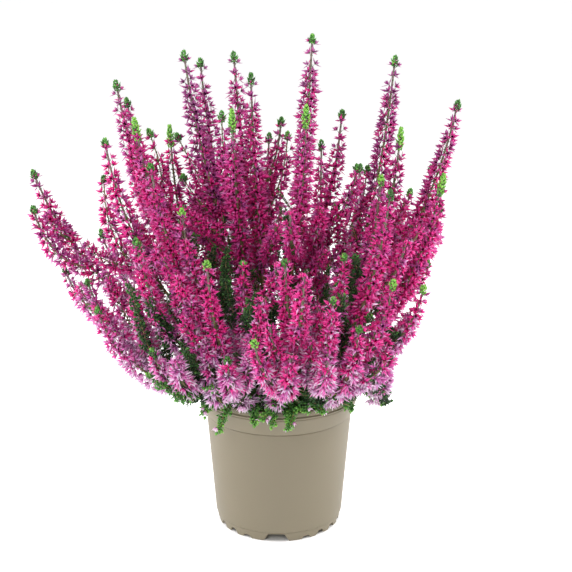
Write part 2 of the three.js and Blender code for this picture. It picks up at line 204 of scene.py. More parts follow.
petalLook = {
    "body": {
        0.0: "#a8689e",
        0.2: "#bc5c9e",
        0.4: "#d83c96",
        0.6: "#fc2292",
        0.75: "#ea58b8",
        0.9: "#e892d4",
        1.0: "#f4c6ea",
    },
    # Paler towards the tip: partly the petals' own pale tips, partly a painted highlight
    "tip": {
        0.0: "#cc94bc",
        0.2: "#cc7cb2",
        0.4: "#e054a6",
        0.6: "#f866b2",
        0.75: "#f6a0d8",
        0.9: "#fcdcf4",
        1.0: "#ffffff",
    },
    # Darker and redder towards the root: painted shade between the petals at the heart of each floret
    "root": {0.0: "#6c3458", 0.3: "#821f50", 0.6: "#9e1c56", 0.8: "#aa3a7e", 0.92: "#cc74b4", 1.0: "#f0c4e6"},
    "tipFrom": 0.45,
    "rootTo": 0.45,
    "roughness": (0.6, 0.5),
    "sheen": 0.0,
    "gloss": 0.22,
}

violetLook = {
    **petalLook,
    "body": {0.0: "#8c4c80", 0.3: "#b0468e", 0.6: "#cc4c9e", 0.8: "#d46eb8", 1.0: "#e6bae4"},
    # Paler towards the tip, as on the other petals: partly their own colour, partly a painted highlight
    "tip": {0.0: "#b078a8", 0.3: "#be5ca6", 0.6: "#d868b8", 0.8: "#e8a8da", 1.0: "#fdf4fe"},
    # Darker towards the root, as on the other petals: painted shade at the heart of each floret
    "root": {0.0: "#542454", 0.5: "#802a6c", 1.0: "#e0b8e0"},
}

leafLook = {
    "body": {0.0: "#14301c", 0.25: "#24481f", 0.5: "#3c702a", 0.75: "#55a03e", 1.0: "#86cc4c"},
    "tip": {0.0: "#264624", 0.25: "#34602c", 0.5: "#4a8438", 0.75: "#6cac4c", 1.0: "#a8d868"},
    "root": {0.0: "#101f10", 0.5: "#24481e", 1.0: "#4f8a34"},
    "tipFrom": 0.55,
    "rootTo": 0.4,
    "roughness": (0.6, 0.45),
    "sheen": 0.05,
    "gloss": 0.4,
}

stemLook = {
    "body": {0.0: "#6d5560", 0.3: "#7c7a5c", 0.6: "#a08c62", 0.8: "#8a7048", 1.0: "#5c4230"},
    "tip": {0.0: "#7f6874", 0.3: "#928e6c", 0.6: "#b8a476", 0.8: "#a5885a", 1.0: "#765840"},
    "root": {0.0: "#59434c", 0.5: "#7a6c48", 1.0: "#453022"},
    "tipFrom": 0.5,
    "rootTo": 0.3,
    "roughness": (0.75, 0.65),
    "sheen": 0.0,
    "gloss": 0.3,
}


plasticLook = {
    "body": "#7a715c",
    "worn": "#847b65",
    "dust": "#6b624f",
    "wear": (14.0, 3.0),  # the scale and the detail of its broad marks
    "grain": (2600.0, 2.0),
    "roughness": (0.46, 0.56),
    "depth": 0.00005,  # of the grain, in metres
}

peatLook = {
    "stops": {0.3: "#150d08", 0.5: "#2e1d12", 0.62: "#4b3120", 0.75: "#70502f"},
    "clods": (420.0, 6.0),
    "grain": (900.0, 5.0),
    "depth": 0.0006,
}


def plasticFinish():
    look = plasticLook
    finish = Finish("potPlastic")
    wear, grain = finish.noise(*look["wear"]), finish.noise(*look["grain"])
    worn = finish.mix(finish.fromTo(wear, 0.35, 0.7, 0.0, 0.35), tone(look["body"]), tone(look["worn"]))
    colour = finish.mix(finish.fromTo(grain, 0.3, 0.7, 0.0, 0.12), worn, tone(look["dust"]))
    roughness = finish.fromTo(wear, 0.3, 0.7, *look["roughness"])
    finish.fill(finish.surface, Base_Color=colour, Roughness=roughness)
    finish.bump(grain, 0.25, look["depth"])
    return finish.material


def peatFinish():
    finish = Finish("peatCrumb")
    colour = finish.ramp(finish.noise(*peatLook["clods"]), peatLook["stops"])
    finish.fill(finish.surface, Base_Color=colour, Roughness=0.95, Specular_IOR_Level=0.15)
    finish.bump(finish.noise(*peatLook["grain"]), 0.8, peatLook["depth"])
    return finish.material


def floorFinish():
    finish = Finish("floorPaint")
    cloud = finish.fromTo(finish.noise(3.0, 4.0), 0.3, 0.7, 0.0, 1.0)
    out = finish.node("ShaderNodeVectorMath", {"operation": "LENGTH"}, Vector=finish.place()).outputs["Value"]
    finish.fill(
        finish.surface,
        Base_Color=finish.mix(cloud, tone("#ffffff"), tone(studio["floorTone"])),
        Roughness=0.7,
        Specular_IOR_Level=0.1,
        Emission_Color=tone("#ffffff"),
        # The glow fades to nothing under the pot: a painted shadow there
        Emission_Strength=finish.fromTo(out, *studio["shade"], 0.0, studio["floorGlow"]),
    )
    return finish.material


# Meshes

class Bunch:
    # Triangles gathered for one piece, in millimetres, each with its map corners and its material
    def __init__(self):
        self.points, self.faces, self.maps, self.finishes = [], [], [], []
        self.count = 0

    def add(self, points, faces, maps, finish):
        self.points.append(points)
        self.faces.append(faces + self.count)
        self.maps.append(maps)
        self.finishes.append(np.full(len(faces), finish))
        self.count += len(points)

    def build(self, name, materials):
        points, faces = np.concatenate(self.points) * mm, np.concatenate(self.faces)
        mesh = bpy.data.meshes.new(name)
        mesh.vertices.add(len(points))
        mesh.vertices.foreach_set("co", points.astype(np.float32).ravel())
        mesh.loops.add(faces.size)
        mesh.loops.foreach_set("vertex_index", faces.astype(np.int32).ravel())
        mesh.polygons.add(len(faces))
        mesh.polygons.foreach_set("loop_start", np.arange(0, faces.size, 3, dtype=np.int32))
        mesh.polygons.foreach_set("material_index", np.concatenate(self.finishes).astype(np.int32))
        mesh.polygons.foreach_set("use_smooth", np.ones(len(faces), bool))
        layer = mesh.uv_layers.new(name=mapName)
        layer.data.foreach_set("uv", np.concatenate(self.maps).astype(np.float32).ravel())
        for material in materials:
            mesh.materials.append(material)
        mesh.update(calc_edges=True)
        mesh.validate()
        return linked(bpy.data.objects.new(name, mesh))


def place(piece, slot, *nodes):
    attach(piece, "root")
    if nodes:
        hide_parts(*nodes)


def unit(vectors):
    return vectors / np.maximum(np.linalg.norm(vectors, axis=-1, keepdims=True), 1e-9)


# Across an axis, this far round it
def aside(first, second, angle):
    angle = np.asarray(angle)[..., None]
    return first * np.cos(angle) + second * np.sin(angle)


# Blades that open this far from an axis: the ways that they run, and what they face
def openedBy(degrees, axes, outward):
    angle = np.radians(degrees)[:, None]
    return axes * np.cos(angle) + outward * np.sin(angle), axes * np.sin(angle) - outward * np.cos(angle)


# Two ways across each of these, square to each other
def squareTo(ways):
    guide = np.where(np.abs(ways[:, 2:3]) < 0.9, [[0.0, 0.0, 1.0]], [[1.0, 0.0, 0.0]])
    first = unit(np.cross(guide, ways))
    return first, np.cross(ways, first)


# Where a corner lies on the map, which has a margin at each edge
def onMap(tint, across, along):
    return np.clip(tint, 0.02, 0.98) + 0.012 * across, 0.02 + 0.96 * along


# The corners of a pointed blade, by how far across, deep and along they lie: its root, its left side,
# its keel, its right side and its tip
bladeCorners = np.array([(0, 0, 0), (-1, 0, 0.42), (0, -1, 0.42), (1, 0, 0.42), (0, 0, 1)])
bladeFaces = np.array([(0, 2, 1), (1, 2, 4), (0, 3, 2), (2, 3, 4), (0, 1, 3), (3, 1, 4)])


# Blades at many places. Each way along and facing is a unit vector, square to each other.
def addBlades(bunch, roots, along, facing, length, width, curl, tint, finish, thick=0.45):
    count = len(roots)
    length, width, curl, tint = [np.broadcast_to(v, count)[:, None] for v in (length, width, curl, tint)]
    across, deep, on = bladeCorners.T
    side = np.cross(facing, along)
    inwards = thick * width / 2 * deep - curl * length * on ** 2
    places = roots[:, None] + (length * on)[..., None] * along[:, None]
    places = places + (width / 2 * across)[..., None] * side[:, None] + inwards[..., None] * facing[:, None]
    maps = np.stack(np.broadcast_arrays(*onMap(tint, across, on)), axis=-1)
    faces = bladeFaces + np.arange(count)[:, None, None] * len(bladeCorners)
    bunch.add(places.reshape(-1, 3), faces.reshape(-1, 3), maps[:, bladeFaces].reshape(-1, 3, 2), finish)


# A round stem through points, closed at both ends. Radii and tints are those of its foot and its tip.
def addStem(bunch, points, radii, sides, tints, ripple=0.0):
    count, last = len(points), len(points) - 1
    radii = np.linspace(*radii, count) * (1 + ripple * np.sin(np.linspace(0, 23, count)))
    tints = np.linspace(*tints, count)
    ahead = unit(np.gradient(points, axis=0))
    side = unit(np.cross(ahead, (0.3, 0.9, 0.31)))
    up = np.cross(ahead, side)
    ring = aside(side[:, None], up[:, None], np.arange(sides) / sides * 2 * np.pi)
    walls = points[:, None] + radii[:, None, None] * ring
    places = np.concatenate([walls.reshape(-1, 3), points[:1], points[-1:]])
    faces, maps = [], []

    # Corners and map places by row and column. Rows -2 and -1 are the middles of the two ends.
    def addFace(corners, mapped):
        faces.append([len(places) + row if row < 0 else row * sides + turn % sides for row, turn in corners])
        maps.append([onMap(tints[row], turn / sides - 0.5, row / last) for row, turn in mapped])

    for column in range(sides):
        after = column + 1
        for row in range(last):
            for cell in (((row, column), (row, after), (row + 1, after)),
                         ((row, column), (row + 1, after), (row + 1, column))):
                addFace(cell, cell)
        addFace(((-2, 0), (0, after), (0, column)), ((0, column), (0, after), (1, column)))
        addFace(((-1, 0), (last, column), (last, after)), ((last, column), (last, after), (last - 1, column)))
    bunch.add(places, np.array(faces), np.array(maps), stemPart)


# The plan of the stems, as the solids have it

potSize = {
    "height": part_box("pot")[1].z / mm,
    "rim": 65.0,
    "lip": 64.6,
    "bead": 109.5,
    "band": 60.0,
    "bandFoot": 94.7,
    "bodyTop": 58.8,
    "bodyFoot": 52.0,
    "groove": 0.7,  # depth of the fine lines round the pot
    "foot": 50.0,
    "footHeight": 7.8,
    "footWidth": 1.9,
    "footStep": 0.6,
    "wall": 1.3,
    "floor": 6.0,
    "floorWall": 1.5,
    "pad": 13.0,
}
peatCrown = 104.0

trunk = {"radius": 2.4, "tipRadius": 1.9, "root": 78.0, "fork": 119.0, "lean": 7.0}
reach = {"leafy": 4.6, "bloom": 8.6}
inBloom = {"bareStem": 42.0, "bareBranch": 22.0, "longest": 132.0}
spread = {"clearance": 1.5, "rounds": 90, "weight": (0.55, 1.0, 0.4), "samples": 34, "overRim": 1.2}
bend = {"leave": 1.3, "leaveShort": 1.9, "arrive": 0.45, "arriveShort": 0.25, "most": 82.0, "handle": 0.37}
stemLengths = {"short": 130.0, "tall": 230.0}
forkShare = 0.5

# Each bough is a flowering stem and those that branch off it: the tip x, y, z, and a length in bloom
# where it isn't the usual one. A side is a raceme's place in the boughs, the share of its bloom below
# the branching, x, y, z. A sprig is x, y, z and how far from upright it leaves and ends, in degrees.
cuttings = {
    "middle": {
        "foot": (0, 4),
        "boughs": [
            [(-72, 5, 379), (-62, 40, 371), (-35, -25, 340)], [(-35, 25, 377), (-21, -5, 363, 160)],
            [(25, 0, 391), (20, -35, 344), (49, 15, 333)],
        ],
        "sides": [(7, 0.25, 59, -18, 296), (3, 0.05, 2, 36, 325), (6, 0.08, 8, -64, 268)],
        "sprigs": [],
    },
    "left": {
        "foot": (-34, 2),
        "boughs": [
            [(-190, 0, 289), (-170, 5, 210)], [(-124, 5, 357), (-128, -35, 318)],
            [(-121, 40, 340), (-86, 25, 322)], [(-108, -20, 333)],
        ],
        "sides": [(0, 0.3, -184, -32, 267), (4, 0.2, -122, 62, 283)],
        "sprigs": [(-97, -4, 118, 70, 92)],
    },
    "frontLeft": {
        "foot": (-21, -30),
        "boughs": [
            [(-144, -45, 214), (-133, -70, 199)], [(-103, -70, 251), (-91, -95, 176)],
            [(-94, -45, 301), (-71, -55, 270)], [(-51, -90, 239), (-36, -115, 176)], [(-26, -70, 233)],
        ],
        "sides": [
            (8, 0.1, -10, -108, 212), (8, 0.4, -2, -78, 232), (6, 0.1, -68, -84, 196),
            (3, 0.15, -72, -104, 172), (4, 0.1, -74, -68, 216),
        ],
        "sprigs": [(-46, -73, 98, 52, 165), (-62, -47, 102, 58, 150)],
    },
    "frontRight": {
        "foot": (20, -31),
        "boughs": [
            [(4, -100, 242), (-16, -128, 194)], [(47, -75, 240), (79, -75, 287)],
            [(37, -120, 220), (56, -108, 196)], [(81, -95, 227)],
        ],
        "sides": [
            (0, 0.3, 17, -126, 238), (0, 0.1, -8, -112, 200), (1, 0.1, 8, -126, 180),
            (5, 0.1, 74, -74, 188), (4, 0.05, 33, -126, 178), (2, 0.1, 28, -84, 204),
        ],
        "sprigs": [(-16, -80, 110, 62, 128), (6, -84, 104, 58, 140), (34, -72, 113, 60, 112)],
    },
    "right": {
        "foot": (35, -2),
        "boughs": [
            [(137, 5, 342), (122, 30, 288)], [(90, 25, 374), (93, -5, 324)],
            [(124, -25, 292), (107, -60, 213)], [(75, -45, 293)],
        ],
        "sides": [
            (6, 0.25, 92, -62, 246), (3, 0.1, 117, -12, 240), (1, 0.25, 134, 58, 230),
            (5, 0.1, 98, -32, 182), (3, 0.1, 70, -12, 222),
        ],
        "sprigs": [(86, -42, 112, 66, 104)],
    },
    "backRight": {
        "foot": (21, 31),
        "boughs": [
            [(71, 110, 276), (36, 90, 300)], [(111, 75, 261), (95, 125, 206)],
            [(19, 145, 248), (48, 158, 182)],
        ],
        "sides": [(3, 0.1, 68, 126, 186), (2, 0.1, 96, 62, 196)],
        "sprigs": [(66, 74, 112, 62, 108)],
    },
    "backLeft": {
        "foot": (-21, 31),
        "boughs": [
            [(-110, 80, 281), (-151, 70, 227)], [(-64, 105, 290), (-90, 140, 221)],
            [(-15, 130, 269), (-36, 160, 188)], [(-8, 60, 310)],
        ],
        "sides": [(6, 0.3, -38, 84, 286), (3, 0.1, -58, 120, 190)],
        "sprigs": [(-70, 72, 111, 62, 110)],
    },
}


def smoothstep(value, low, high):
    share = np.clip((value - low) / (high - low), 0.0, 1.0)
    return share * share * (3 - 2 * share)


def blend(share, low, high):
    return low + (high - low) * share


# Points of a curve in the upright plane through both ends, from angles measured from upright
def arch(start, tip, leave, arrive, samples):
    out = unit((tip - start) * (1, 1, 0))
    handle = np.linalg.norm(tip - start) * bend["handle"]

    def heading(angle):
        return out * math.sin(angle) + np.array((0, 0, math.cos(angle)))

    hold = [start, start + heading(leave) * handle, tip - heading(arrive) * handle, tip]
    t = np.linspace(0, 1, samples + 1)[:, None]
    shares = ((1 - t) ** 3, 3 * (1 - t) ** 2 * t, 3 * (1 - t) * t ** 2, t ** 3)
    return sum(share * point for share, point in zip(shares, hold))


def leansOf(start, tip):
    rise = tip - start
    lean = math.atan2(math.hypot(rise[0], rise[1]), rise[2])
    tall = smoothstep(np.linalg.norm(rise), stemLengths["short"], stemLengths["tall"])
    leave = min(lean * blend(tall, bend["leaveShort"], bend["leave"]), math.radians(bend["most"]))
    return leave, lean * blend(tall, bend["arriveShort"], bend["arrive"])


def forkOf(foot):
    foot = np.array(foot, float)
    return np.array((*(foot + trunk["lean"] * unit(foot)), trunk["fork"]))


def distances(points):
    return np.concatenate([[0.0], np.cumsum(np.linalg.norm(np.diff(points, axis=0), axis=1))])


# The sample of a stem that lies this far along it
def sampleAt(stem, distance):
    return int(np.argmax(np.append(distances(stem["rest"])[1:-1] >= distance, True)))


def stemOf(name, cutting, start, tip, leans, bloomLength, main=None, leaves=0, fused=False):
    rest = arch(start, tip, *leans, spread["samples"])
    along = distances(rest)
    flowering = along[-1] - along < bloomLength + 2
    return {
        "name": name,
        "cutting": cutting,
        "rest": rest,
        "radius": np.where(flowering, reach["bloom"], reach["leafy"]),
        "node": np.where(flowering, name, cutting),
        "bloomLength": bloomLength,
        "length": along[-1],
        "main": main,
        "leaves": leaves,  # the sample of its main stem that it leaves
        "fused": fused,
    }


def growStems():
    stems = []
    for cutting, plan in cuttings.items():
        fork = forkOf(plan["foot"])
        racemes = []
        for bough in plan["boughs"]:
            first = None
            for x, y, z, *given in bough:
                tip = np.array((x, y, z), float)
                leaves = sampleAt(first, (first["length"] - first["bloomLength"]) * forkShare) if first else 0
                start = first["rest"][leaves] if first else fork
                bare = inBloom["bareBranch"] if first else inBloom["bareStem"]
                usual = min(inBloom["longest"], np.linalg.norm(tip - start) - bare)
                name = f"raceme_{cutting}_{len(racemes) + 1}"
                bloomLength = given[0] if given else usual
                leans = leansOf(start, tip)
                racemes.append(stemOf(name, cutting, start, tip, leans, bloomLength, first, leaves))
                first = first or racemes[-1]
        stems += racemes
        for index, share, x, y, z in plan["sides"]:
            main = racemes[index]
            leaves = sampleAt(main, main["length"] - main["bloomLength"] * (1 - share)) + 1
            start, tip = main["rest"][leaves], np.array((x, y, z), float)
            leans = leansOf(start, tip)
            stems.append(stemOf(main["name"], main["name"], start, tip, leans, math.inf, main, leaves, True))
        for x, y, z, leave, arrive in plan["sprigs"]:
            leans = (math.radians(leave), math.radians(arrive))
            tip = np.array((x, y, z), float)
            stems.append(stemOf("sprig_" + cutting, cutting, fork, tip, leans, 0))
    return stems


# The lowest that a stem of this radius may run: over the peat inside the pot, over the rim at its edge
def lowest(points, radius):
    out = np.hypot(points[:, 0], points[:, 1])
    overRim = np.where(out < potSize["rim"] + radius, potSize["height"] + spread["overRim"] + radius, -np.inf)
    return np.where(out < potSize["band"] - radius - spread["overRim"], peatCrown + radius, overRim)


def bendClear(stems):
    rest = np.concatenate([stem["rest"] for stem in stems])
    radius = np.concatenate([stem["radius"] for stem in stems])
    node = np.unique(np.concatenate([stem["node"] for stem in stems]), return_inverse=True)[1]
    each = spread["samples"] + 1
    order = {id(stem): index for index, stem in enumerate(stems)}
    ones, others = [], []
    for a in range(len(stems)):
        apart = np.linalg.norm(rest[a * each:(a + 1) * each, None] - rest[None], axis=2)
        near = apart < 60  # no two stems are bent further towards each other than this
        near &= node[a * each:(a + 1) * each, None] != node[None]
        near[:, :(a + 1) * each] = False
        for b, other in enumerate(stems):
            if other["fused"] and order[id(other["main"])] == a:
                near[:, b * each:(b + 1) * each] = False
        one, far = np.nonzero(near)
        ones.append(one + a * each)
        others.append(far)
    one, other = np.concatenate(ones), np.concatenate(others)
    need = radius[one] + radius[other] + spread["clearance"]
    at, shift = rest.copy(), np.zeros_like(rest)
    for _ in range(spread["rounds"]):
        gap = at[one] - at[other]
        distance = np.linalg.norm(gap, axis=1)
        close = distance < need
        a, b = one[close], other[close]
        push = (need[close] - distance[close]) / (2 * np.maximum(distance[close], 0.1))
        push = gap[close] * push[:, None] * spread["weight"]
        count = np.bincount(a, minlength=len(at)) + np.bincount(b, minlength=len(at))
        for axis in range(3):
            total = np.bincount(a, push[:, axis], len(at)) - np.bincount(b, push[:, axis], len(at))
            shift[:, axis] += total / np.maximum(count, 1)
        shift[:, 2] += np.clip(lowest(at, radius) - at[:, 2], 0, 4) * 0.5
        rows = shift.reshape(len(stems), each, 3)
        for index, stem in enumerate(stems):
            main = stem["main"]
            base = rows[order[id(main)], stem["leaves"]] if main else np.zeros(3)
            before = np.pad(rows[index], ((1, 1), (0, 0)), mode="edge")
            rows[index] = (2 * before[1:-1] + before[:-2] + before[2:]) / 4
            rows[index, :2] = base
        at = rest + shift
    for index, stem in enumerate(stems):
        stem["path"] = at[index * each:(index + 1) * each]


# Places along a path, and the way that it runs there
def along(path, where):
    lengths = distances(path)
    ahead = np.gradient(path, axis=0)
    places = np.stack([np.interp(where, lengths, path[:, axis]) for axis in range(3)], axis=-1)
    ways = np.stack([np.interp(where, lengths, ahead[:, axis]) for axis in range(3)], axis=-1)
    return places, unit(ways)


# Flowers

flower = {
    "petals": 4,  # in each whorl: all florets have the first two, and those low down the third
    "outer": {"length": 6.4, "width": 2.3, "open": 58.0, "curl": 0.1, "turn": 0.0, "darker": 0.0},
    "inner": {"length": 4.8, "width": 2.1, "open": 26.0, "curl": 0.05, "turn": 0.5, "darker": 0.06},
    "crowd": {"length": 5.8, "width": 2.0, "open": 44.0, "curl": 0.08, "turn": 0.5, "darker": -0.03},
    "petalStray": (0.16, 7.0),  # radians round the axis, and degrees in how far they open
    "petalLength": (0.86, 1.12),
    "petalWidth": (0.88, 1.1),
    "petalTint": 0.035,
    "closed": 4,  # buds under the green end that aren't open
    "shut": (3.4, 1.9, 0.12),  # a bud's length, width and how much paler it is
    "bract": (1.9, 0.85, 0.42),  # length, width and tint
    "under": (0.8, 1.5, 2.5),  # the first pair's place in the green end, and the steps to the next two
    "gapTop": (4.4, 8.4),  # from pair to pair, in low and in tall racemes
    "tallFrom": (245.0, 330.0),
    "gapFull": 3.1,
    "fullFrom": 34.0,  # from the tip to where the florets stand close, and to where leaves are sparse
    "stray": (1.1, 0.45),  # how far they stray from their row, near the tip and below
    "around": 0.2,  # and round the stem, in radians
    "usual": 90.0,  # length in bloom, below which a raceme is a small copy
    "stalk": 4.3,
    "stalkRange": (0.8, 1.25),
    "stalkUp": (0.55, 0.5),  # how far stalks point along the stem, and how much more near the tip
    "stalkLess": 0.3,  # how much shorter they are there
    "upright": (8.0, 60.0, 0.5),  # from the tip to where florets stand out, and how far they rise near it
    "facing": 0.14,  # how far they stray from the way that they face
    "ripe": 1.24,  # how much larger they are far below the tip
    "ripeFrom": (20, 90),
    "sizeRange": (0.9, 1.1),
    "low": (135.0, 195.0),  # heights below which petals grow long
    "lowLength": 1.34,
    "lowOpen": -16.0,
    "lift": (0.42, 0.1),  # how far florets point along the stem, and how far low down
    "sag": 0.35,
    "tintHeights": (112, 130, 150, 190, 230, 290, 390),
    "tints": (0.96, 0.86, 0.75, 0.62, 0.56, 0.43, 0.06),  # of florets at those heights
    "lowViolet": 0.3,  # share of violet florets low down
    "crowdedFrom": 0.4,  # how low a floret is that has the third whorl
    "paleHeights": (140, 200),
    "pale": (0.4, 0.13),  # share of petals that are paler than the rest, low down and from there up
    "palerBy": 0.28,
    "tintStray": 0.06,
    "tintDown": 0.05,  # how much paler they are at the foot of the bloom than at its tip
    "stemRadius": (1.0, 0.8),
    "young": (24.0, 0.78, -14.0),  # over this far from the green end they are smaller and less open
}

# Scale leaves of each kind: how far apart, how long and how wide they are, and how far they open
leafKinds = {
    "stem": (2.1, 3.2, 1.4, 46.0),
    "shoot": (1.512, 3.2, 1.4, 46.0),
    "sprig": (1.5, 2.6, 1.5, 44.0),
    "tuft": (1.4, 3.2, 2.8, 48.0),
    "shortFoot": (1.8, 3.2, 1.8, 50.0),
    "underFlowers": (2.4, 3.4, 1.5, 46.0),
    "underTip": (3.3, 2.2, 1.1, 28.0),
}

# How far each scale leaf strays: radians round the stem, degrees in how far it opens, its length and tint
leafStray = {"around": 0.2, "open": 8, "length": (0.8, 1.15), "tint": 0.07, "curl": -0.12}

# The green ends. A few grow long, and some are brighter than the rest.
budTip = {
    "tier": 1.6,
    "leaves": 4,
    "length": 3.3,
    "width": 2.7,
    "open": 62.0,
    "over": 0.86,  # share of its height that the tiers stand over
    "shuts": 0.8,  # share by which the topmost leaves are less open
    "brighter": 0.2,  # towards the top
    "stray": {"around": 0.2, "open": 6, "length": (0.85, 1.15), "tint": 0.12},
    "tall": (5.0, 7.6),
    "tallLong": 18.0,
    "long": ("right_4", "right_5", "left_6", "left_7", "middle_3", "middle_7"),
    "bright": ("left_6", "left_7", "middle_3", "middle_7", "right_4", "right_5", "right_6", "right_7",
               "frontLeft_6", "frontLeft_7", "frontRight_2", "frontRight_7"),
    "small": ("frontLeft_9", "frontRight_1", "frontRight_3", "frontRight_5", "frontRight_6"),
    "sides": ("left_1", "left_5", "middle_4", "middle_8", "backLeft_7"),  # whose side racemes have one too
}

petalPart, violetPart, leafPart, stemPart = 0, 1, 2, 3  # places of the materials in each piece


# Across and out from a path, so that what grows in rows keeps its place as the path bends
def rowsOf(places, ahead):
    out = unit((places.mean(axis=0) + (0.01, 0.0, 0.0)) * (1, 1, 0))
    second = unit(np.cross(unit(np.cross((0.0, 0.0, 1.0), out)), ahead))
    return np.cross(ahead, second), second


# One whorl of petals round each floret's axis
def addWhorl(bunch, whorl, finish, centres, axes, size, opening, tint):
    first, second = squareTo(axes)
    count = len(centres)
    strayRound, strayOpen = flower["petalStray"]
    for petal in range(flower["petals"]):
        turn = 2 * np.pi * (petal + whorl["turn"]) / flower["petals"] + draw.normal(0, strayRound, count)
        degrees = whorl["open"] + opening + draw.normal(0, strayOpen, count)
        ways, facing = openedBy(degrees, axes, aside(first, second, turn))
        length = whorl["length"] * size * draw.uniform(*flower["petalLength"], count)
        width = whorl["width"] * size ** 0.5 * draw.uniform(*flower["petalWidth"], count)
        isPale = draw.random(count) < np.interp(centres[:, 2], flower["paleHeights"], flower["pale"])
        tints = tint - whorl["darker"] + draw.normal(0, flower["petalTint"], count)
        tints += flower["palerBy"] * isPale
        addBlades(bunch, centres, ways, facing, length, width, whorl["curl"], tints, finish)


def addFlorets(bunch, centres, axes, size, opening, tint, violet, crowded):
    for finish, chosen in ((petalPart, ~violet), (violetPart, violet)):
        for whorl, those in (("outer", chosen), ("inner", chosen), ("crowd", chosen & crowded)):
            if those.any():
                own = [v[those] for v in (centres, axes, size, opening, tint)]
                addWhorl(bunch, flower[whorl], finish, *own)


# How far under the tip each floret stands: in pairs, which crowd further down
def floretsDown(tipHeight, bloomLength, budTall, scale):
    gapTop = blend(smoothstep(tipHeight, *flower["tallFrom"]), *flower["gapTop"]) * scale ** 0.5
    share, second, third = flower["under"]
    where = [budTall * share] * 2 + [budTall * share + second] * 2
    down = where[-1] + third
    while down < bloomLength - 1.5:
        where += [down, down]
        down += blend(smoothstep(down, 10 * scale, flower["fullFrom"] * scale), gapTop, flower["gapFull"])
    stray = blend(smoothstep(np.array(where), 10, 40), *flower["stray"])
    return np.array(where) + draw.normal(0, 1, len(where)) * stray


def addFlowers(bunch, path, bloomLength, mood, violetShare, twist, budTint, budTall):
    total = distances(path)[-1]
    bloomLength = min(bloomLength, total - 1)
    scale = min(1.0, bloomLength / flower["usual"])
    down = floretsDown(path[-1, 2], bloomLength, budTall, scale)
    count = len(down)
    each = np.arange(count)
    places, ahead = along(path, total - down)
    angle = twist + np.pi / 4 + each // 2 * np.pi / 2 + each * np.pi
    radial = aside(*rowsOf(places, ahead), angle + draw.normal(0, flower["around"], count))
    near, far, rise = flower["upright"]
    young = 1 - smoothstep(down, near, far * scale)
    stalkUp, youngUp = flower["stalkUp"]
    stalkWay = unit(radial + ahead * (stalkUp + youngUp * young)[:, None])
    stalk = flower["stalk"] * draw.uniform(*flower["stalkRange"], count) * (1 - flower["stalkLess"] * young)
    centres = places + stalkWay * stalk[:, None]
    low = 1 - smoothstep(places[:, 2], *flower["low"])
    lift = blend(low, *flower["lift"]) + rise * young
    sag = np.array((0, 0, -1.0)) * (flower["sag"] * low)[:, None]
    axes = unit(radial + ahead * lift[:, None] + sag + draw.normal(0, flower["facing"], (count, 3)))
    ripe = blend(smoothstep(down, *flower["ripeFrom"]), 1.0, flower["ripe"])
    span, smallest, shuts = flower["young"]
    fresh = 1 - smoothstep(down - budTall, 0, span * scale)
    size = blend(low, ripe, flower["lowLength"]) * draw.uniform(*flower["sizeRange"], count)
    size = size * blend(fresh, 1.0, smallest)
    opening = flower["lowOpen"] * low + shuts * fresh
    tint = np.interp(places[:, 2], flower["tintHeights"], flower["tints"]) + mood
    tint += draw.normal(0, flower["tintStray"], count) + flower["tintDown"] * down / bloomLength
    violet = draw.random(count) < blend(low, violetShare, flower["lowViolet"])
    opened = each >= flower["closed"]
    crowded = low > flower["crowdedFrom"]
    addFlorets(bunch, *[v[opened] for v in (centres, axes, size, opening, tint, violet, crowded)])
    addStalks(bunch, places, ahead, centres, axes, stalkWay, stalk, tint, ~opened)
    bareTop = total - min(flower["fullFrom"] * scale, bloomLength / 2)
    addLeaves(bunch, path, total - bloomLength, bareTop, "underFlowers", tint=0.5, radius=0.5, endTint=0.66)
    addLeaves(bunch, path, bareTop, total - budTall, "underTip", tint=0.4, radius=0.7, endTint=0.5)
    if budTall:
        addBudTip(bunch, path, budTint, budTall)


# The florets' stalks, each with two small bracts at its end, and the buds that are still shut
def addStalks(bunch, places, ahead, centres, axes, ways, lengths, tint, shut):
    length, width, paler = flower["shut"]
    addBlades(bunch, places[shut], unit(ways[shut] + ahead[shut] * 0.5), squareTo(axes[shut])[0],
              length, width, 0.0, tint[shut] + paler, petalPart, thick=1.0)
    lengths = np.where(shut, 0.4, 1.0) * lengths
    across = squareTo(ways)[0]
    addBlades(bunch, places - ways * 0.3, ways, across, lengths + 0.6, width=0.55, curl=0.0, tint=0.25,
              finish=stemPart, thick=1.0)
    length, width, green = flower["bract"]
    for turn in (-1.0, 1.0):
        bract = unit(axes * 0.9 + np.cross(ways, across) * turn * 0.7)
        facing = unit(np.cross(np.cross(bract, axes), bract))
        greens = green + draw.normal(0, 0.12, len(places))
        addBlades(bunch, centres - ways * 0.5, bract, facing, length, width, curl=0.1, tint=greens,
                  finish=leafPart)


# Places along a path, the way that it runs there, and two ways across it
def framed(path, where):
    places, ahead = along(path, where)
    return (places, ahead, *squareTo(ahead))


# Scale leaves in four rows along a path, in pairs that stand crosswise
def addLeaves(bunch, path, start, end, kind, tint, radius, endTint=None, scale=1.0):
    gap, length, width, degrees = leafKinds[kind] * np.array((scale, scale, scale, 1.0))
    count = int((end - start) / gap)
    if count < 1:
        return
    each = np.arange(count)
    places, ahead, side, up = framed(path, start + (each + 0.5) * gap)
    tints = blend(np.linspace(0, 1, count), tint, tint if endTint is None else endTint)
    for half in (0, 1):
        turn = np.pi * half + each % 2 * np.pi / 2 + draw.normal(0, leafStray["around"], count)
        radial = aside(side, up, turn)
        ways, facing = openedBy(degrees + draw.normal(0, leafStray["open"], count), ahead, radial)
        lengths = length * draw.uniform(*leafStray["length"], count)
        shades = tints + draw.normal(0, leafStray["tint"], count)
        roots = places + radial * radius * 0.6
        addBlades(bunch, roots, ways, facing, lengths, width, leafStray["curl"], shades, leafPart)


